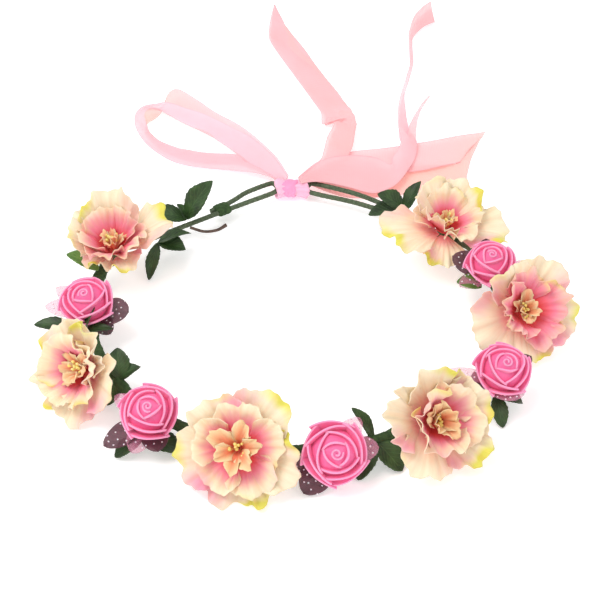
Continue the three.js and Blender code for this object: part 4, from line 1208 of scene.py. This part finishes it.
RIGHT_LOOP = [
    [(3.3, 7.3, 8), (8.5, 18.3, 6), (16.2, 28.6, 4), (31, 36.8, 3.2), (49, 40, 3), (66.3, 44.8, 3),
     (84.6, 50.2, 3), (98.2, 54.2, 2.8), (103.2, 55.9, 2.4), (99.8, 48.5, 1.8), (94.4, 32.9, 1.4),
     (91.4, 19, 1), (88.5, 6.2, 0.9), (74.3, 4.2, 0.9), (59.1, 2.1, 0.9), (43.9, -0.8, 0.9),
     (30.3, -1.6, 1), (19, 2.1, 2), (9.5, 5.1, 4), (4, 4.6, 6)],
    [(3.9, 3.4, 9), (9.5, 8.1, 6.5), (19.1, 12.6, 4.2), (33.6, 15.6, 3.4), (49, 17.5, 3), (64.4, 19.7, 2.8),
     (77.6, 23.9, 2.6), (85.5, 27.5, 2.4), (87.9, 28.7, 2), (87.2, 28.6, 1.6), (86, 28.5, 1.2),
     (84.1, 28.2, 1), (77.9, 27.8, 0.8), (64, 26.6, 0.7), (49.3, 24.6, 0.7), (33.8, 22.5, 0.8),
     (24.6, 19.6, 1), (16.8, 14.3, 2), (9.9, 10.3, 4), (4, 6.9, 6)],
]
LEFT_TAIL = [
    [(2.9, 3.3, 10), (8.4, 13, 9), (14.5, 24.8, 6), (16.7, 36.6, 4.5), (18.8, 49.5, 4), (22.1, 60.8, 4),
     (21, 65.9, 4.5), (18.8, 65.2, 5), (17.7, 62.3, 3.5), (15.8, 63.6, 3), (15.7, 69.1, 5), (14.4, 72.7, 6),
     (9.6, 87.4, 4), (-0.9, 115.4, 3), (-11.8, 143, 3), (-13.6, 153.2, 3), (-13.1, 166.7, 3),
     (-10.9, 186, 3)],
    [(5.3, -0.9, 10), (15.2, 7.9, 9), (24.9, 19.8, 7), (30.5, 33.1, 5.5), (32.7, 45.3, 5), (34.2, 57.4, 5),
     (34.2, 60.2, 5.5), (33.9, 62.8, 6), (33.3, 65, 7), (32.4, 66.5, 8), (31, 70.3, 8), (28.5, 77.6, 7),
     (24.1, 91.4, 5), (14.7, 115.4, 4), (6.5, 135.9, 4), (-2.7, 157.9, 4), (-5.8, 166.7, 4),
     (-10.3, 184, 4)],
]
RIGHT_TAIL = [
    [(3.5, 1.8, 12), (15.3, 18.8, 10), (29.2, 26, 8), (43, 26.3, 7), (50.8, 19.8, 7), (52.5, 24.9, 8),
     (55.7, 30.1, 10), (57.3, 37.9, 12), (55.9, 46, 13), (56.9, 64, 12), (59.5, 84.1, 10), (63, 100.2, 9),
     (65.4, 113.6, 9), (66, 135, 8), (66.7, 150.6, 7), (70.3, 168.2, 6), (75.5, 179.7, 5), (81, 187.9, 4)],
    [(4.4, -3.3, 12), (15.1, 1.7, 9), (28.7, 1.1, 6), (42.2, -2.6, 5), (53.4, 5, 5), (60.8, 18.6, 5),
     (64.6, 30.5, 5), (65.9, 42.2, 6), (62, 52.8, 7), (61.3, 73, 6), (61.5, 90.3, 4), (65.1, 106.5, 3),
     (67.5, 123, 3), (68.2, 143, 3), (68.8, 148.4, 4), (72.3, 155.2, 4), (77.1, 163.2, 3),
     (82.3, 168.4, 2)],
]
WISP = [
    [(60.3, 36.9, 8), (61.8, 48.7, 10), (64.8, 60.1, 9), (67.6, 68.6, 8), (70.8, 78.7, 6), (74.6, 86.6, 5)],
    [(65.3, 39.8, 6), (66.3, 54, 7), (68.3, 66.6, 6), (70, 73.7, 5), (72.1, 80.5, 4), (75.5, 88.1, 4)],
]


def fold_back(rails, share, drop):
    """Adds a third rail under the leaf between two: share of the way back, drop mm lower."""
    first, second = np.array(rails[0], float), np.array(rails[1], float)
    under = second + share * (first - second)
    under[:, 2] = np.maximum(np.minimum(under[:, 2], second[:, 2]) - drop, 0.8)
    return [*rails, under]


# %% The parts of the ribbon beyond the knot
# Each part: its rails, each leaf's rosy and peach amounts, the name of a body, and a point in mm
# from the knot. The body and the point are not used: the part is not set on any body.
PARTS = {
    "left_loop": (LEFT_LOOP,
                  [([0.4, 0.5, 0.3, 0.4, 0.1, 0.0, 0.1, 0.2], [0.0]),
                   ([0.8, 0.5, 0.4, 0.6, 0.9, 0.7, 0.6, 0.4], [0, 0, 0.1, 0.9, 0.5, 0.2, 0, 0])],
                  "left_loop", (-16, 20)),
    "right_loop": (RIGHT_LOOP,
                   [([0.8, 1, 1, 0.9, 0.8, 0.7, 0.6, 0.8], [0, 0.1, 0.2, 0.5, 0.7, 0.9, 0.7, 0.5])],
                   "right_loop", (18, 14)),
    "left_tail": (fold_back(LEFT_TAIL, 0.9, 1.5),
                  [([0.4, 0.5, 0.6, 0.5, 0.6, 0.6], [0, 0.3, 0.2, 0.2, 0.1, 0]), ([0.5, 0.6], [0.3, 0.3])],
                  "tails", (14, 20)),
    "right_tail": (fold_back(RIGHT_TAIL, 0.85, 1.5),
                   [([0.5, 0.6, 0.5, 0.3, 0.3, 0.4, 0.8, 0.8], [0.1])] * 2,
                   "tails", (18, 12)),
}
# A point this far beside and behind the knot's centre is worked out for each part and not used.
BLEND_START = 4, 3
for number, (part, (rails, tints, body, blend_end)) in enumerate(PARTS.items()):
    rng = np.random.default_rng(200 + number)
    cloth = Sheets()
    length = ribbon(cloth, rails, rng, tints)
    if part == "right_tail":
        ribbon(cloth, WISP, rng, tints, rows=30, cols=7, pleat=0, wave=0.2)
    piece = cloth.make(f"organza_{part}", [organza_sheet])
    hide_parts(f"ribbon_{part}")
    start = (KNOT + [math.copysign(BLEND_START[0], blend_end[0]), BLEND_START[1], 0]) * MM
    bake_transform(piece)
    one_side = sum(p.area for p in piece.data.polygons) / 2
    area_share = one_side / (RIBBON_WIDTH * length * MM**2)
    print(part, "length", round(length), "mm, area share", round(area_share, 2))

# %% [markdown]
# The knot is the same organza pulled tight: a waist of pleats that the loops and tails fan out
# of, with one band of ribbon wound over it at a slant.

# %% Knot
KNOT_REACH, KNOT_WAIST, KNOT_FLARE, KNOT_WALL = 8.3, 3.9, 1.8, 0.5


def pleated_roll(reach, waist, flare, wall, rows=31, cols=80):
    """Closed roll along X whose two ends are open mouths: the outside's radius is waist + flare
    |x|^2.4 with pleats that grow towards the mouths, less a rounded lip, and the inside follows
    it a wall deeper. The mouths are ragged: each point moves along X by 0.9 x |x|^3 times
    sin(2a + 2x)."""
    a = np.linspace(0, 2 * math.pi, cols, endpoint=False)[None]

    def skin(x, less):
        r = waist + flare * np.abs(x) ** 2.4 - less - 1.1 * np.clip((np.abs(x) - 0.8) / 0.2, 0, 1) ** 2
        r = r + 0.42 * (0.4 + 0.6 * np.abs(x)) * np.cos(9 * a + 1.5 * x + 0.9 * np.sin(2 * a))
        far = reach * x + 0.9 * x * np.abs(x) ** 3 * np.sin(2 * a + 2 * x)
        return np.stack([far, r * np.cos(a), r * np.sin(a)], -1)

    outside = skin(np.linspace(-1, 1, rows)[:, None], 0)
    left = skin(np.linspace(-0.72, -1, 6)[:, None], wall)
    right = skin(np.linspace(1, 0.72, 6)[:, None], wall)
    ends = [np.broadcast_to([[0.7 * reach * e, 0, 0]], (1, cols, 3)) for e in (-1, 1)]
    return np.concatenate([ends[0], left, outside, right, ends[1]])


def slanted_band(radius, half_width):
    """Rounded band round the X axis, as a ring of ovals: its middle sways along X with
    1.3 cos(a + 0.6) for the slant, and its width and height ripple a little."""
    a = np.linspace(0, 2 * math.pi, 64, endpoint=False)[:, None]
    w = np.linspace(0, 2 * math.pi, 20, endpoint=False)[None]
    r = radius + 0.5 * np.sin(w) + 0.25 * np.sin(3 * a + 5 * np.cos(w))
    x = (half_width + 0.8 * np.sin(a)) * np.cos(w) + 1.3 * np.cos(a + 0.6) + 0.3 * np.sin(5 * a)
    band = np.stack([x - 0.3 + 0 * a, r * np.cos(a), 0.92 * r * np.sin(a)], -1)
    return np.concatenate([band, band[:1]])


knot = Sheets()
knot.add(pleated_roll(KNOT_REACH, KNOT_WAIST, KNOT_FLARE, KNOT_WALL) + KNOT, closed=True)
band = slanted_band(4.4, 2.9)
knot.add(band + KNOT, closed=True, paint=np.full(band.shape, [0.8, 0.2, 0]))
piece = knot.make("organza_knot", [organza_knot])
seat(piece, "ribbon_knot", BOW)
print("bow made")
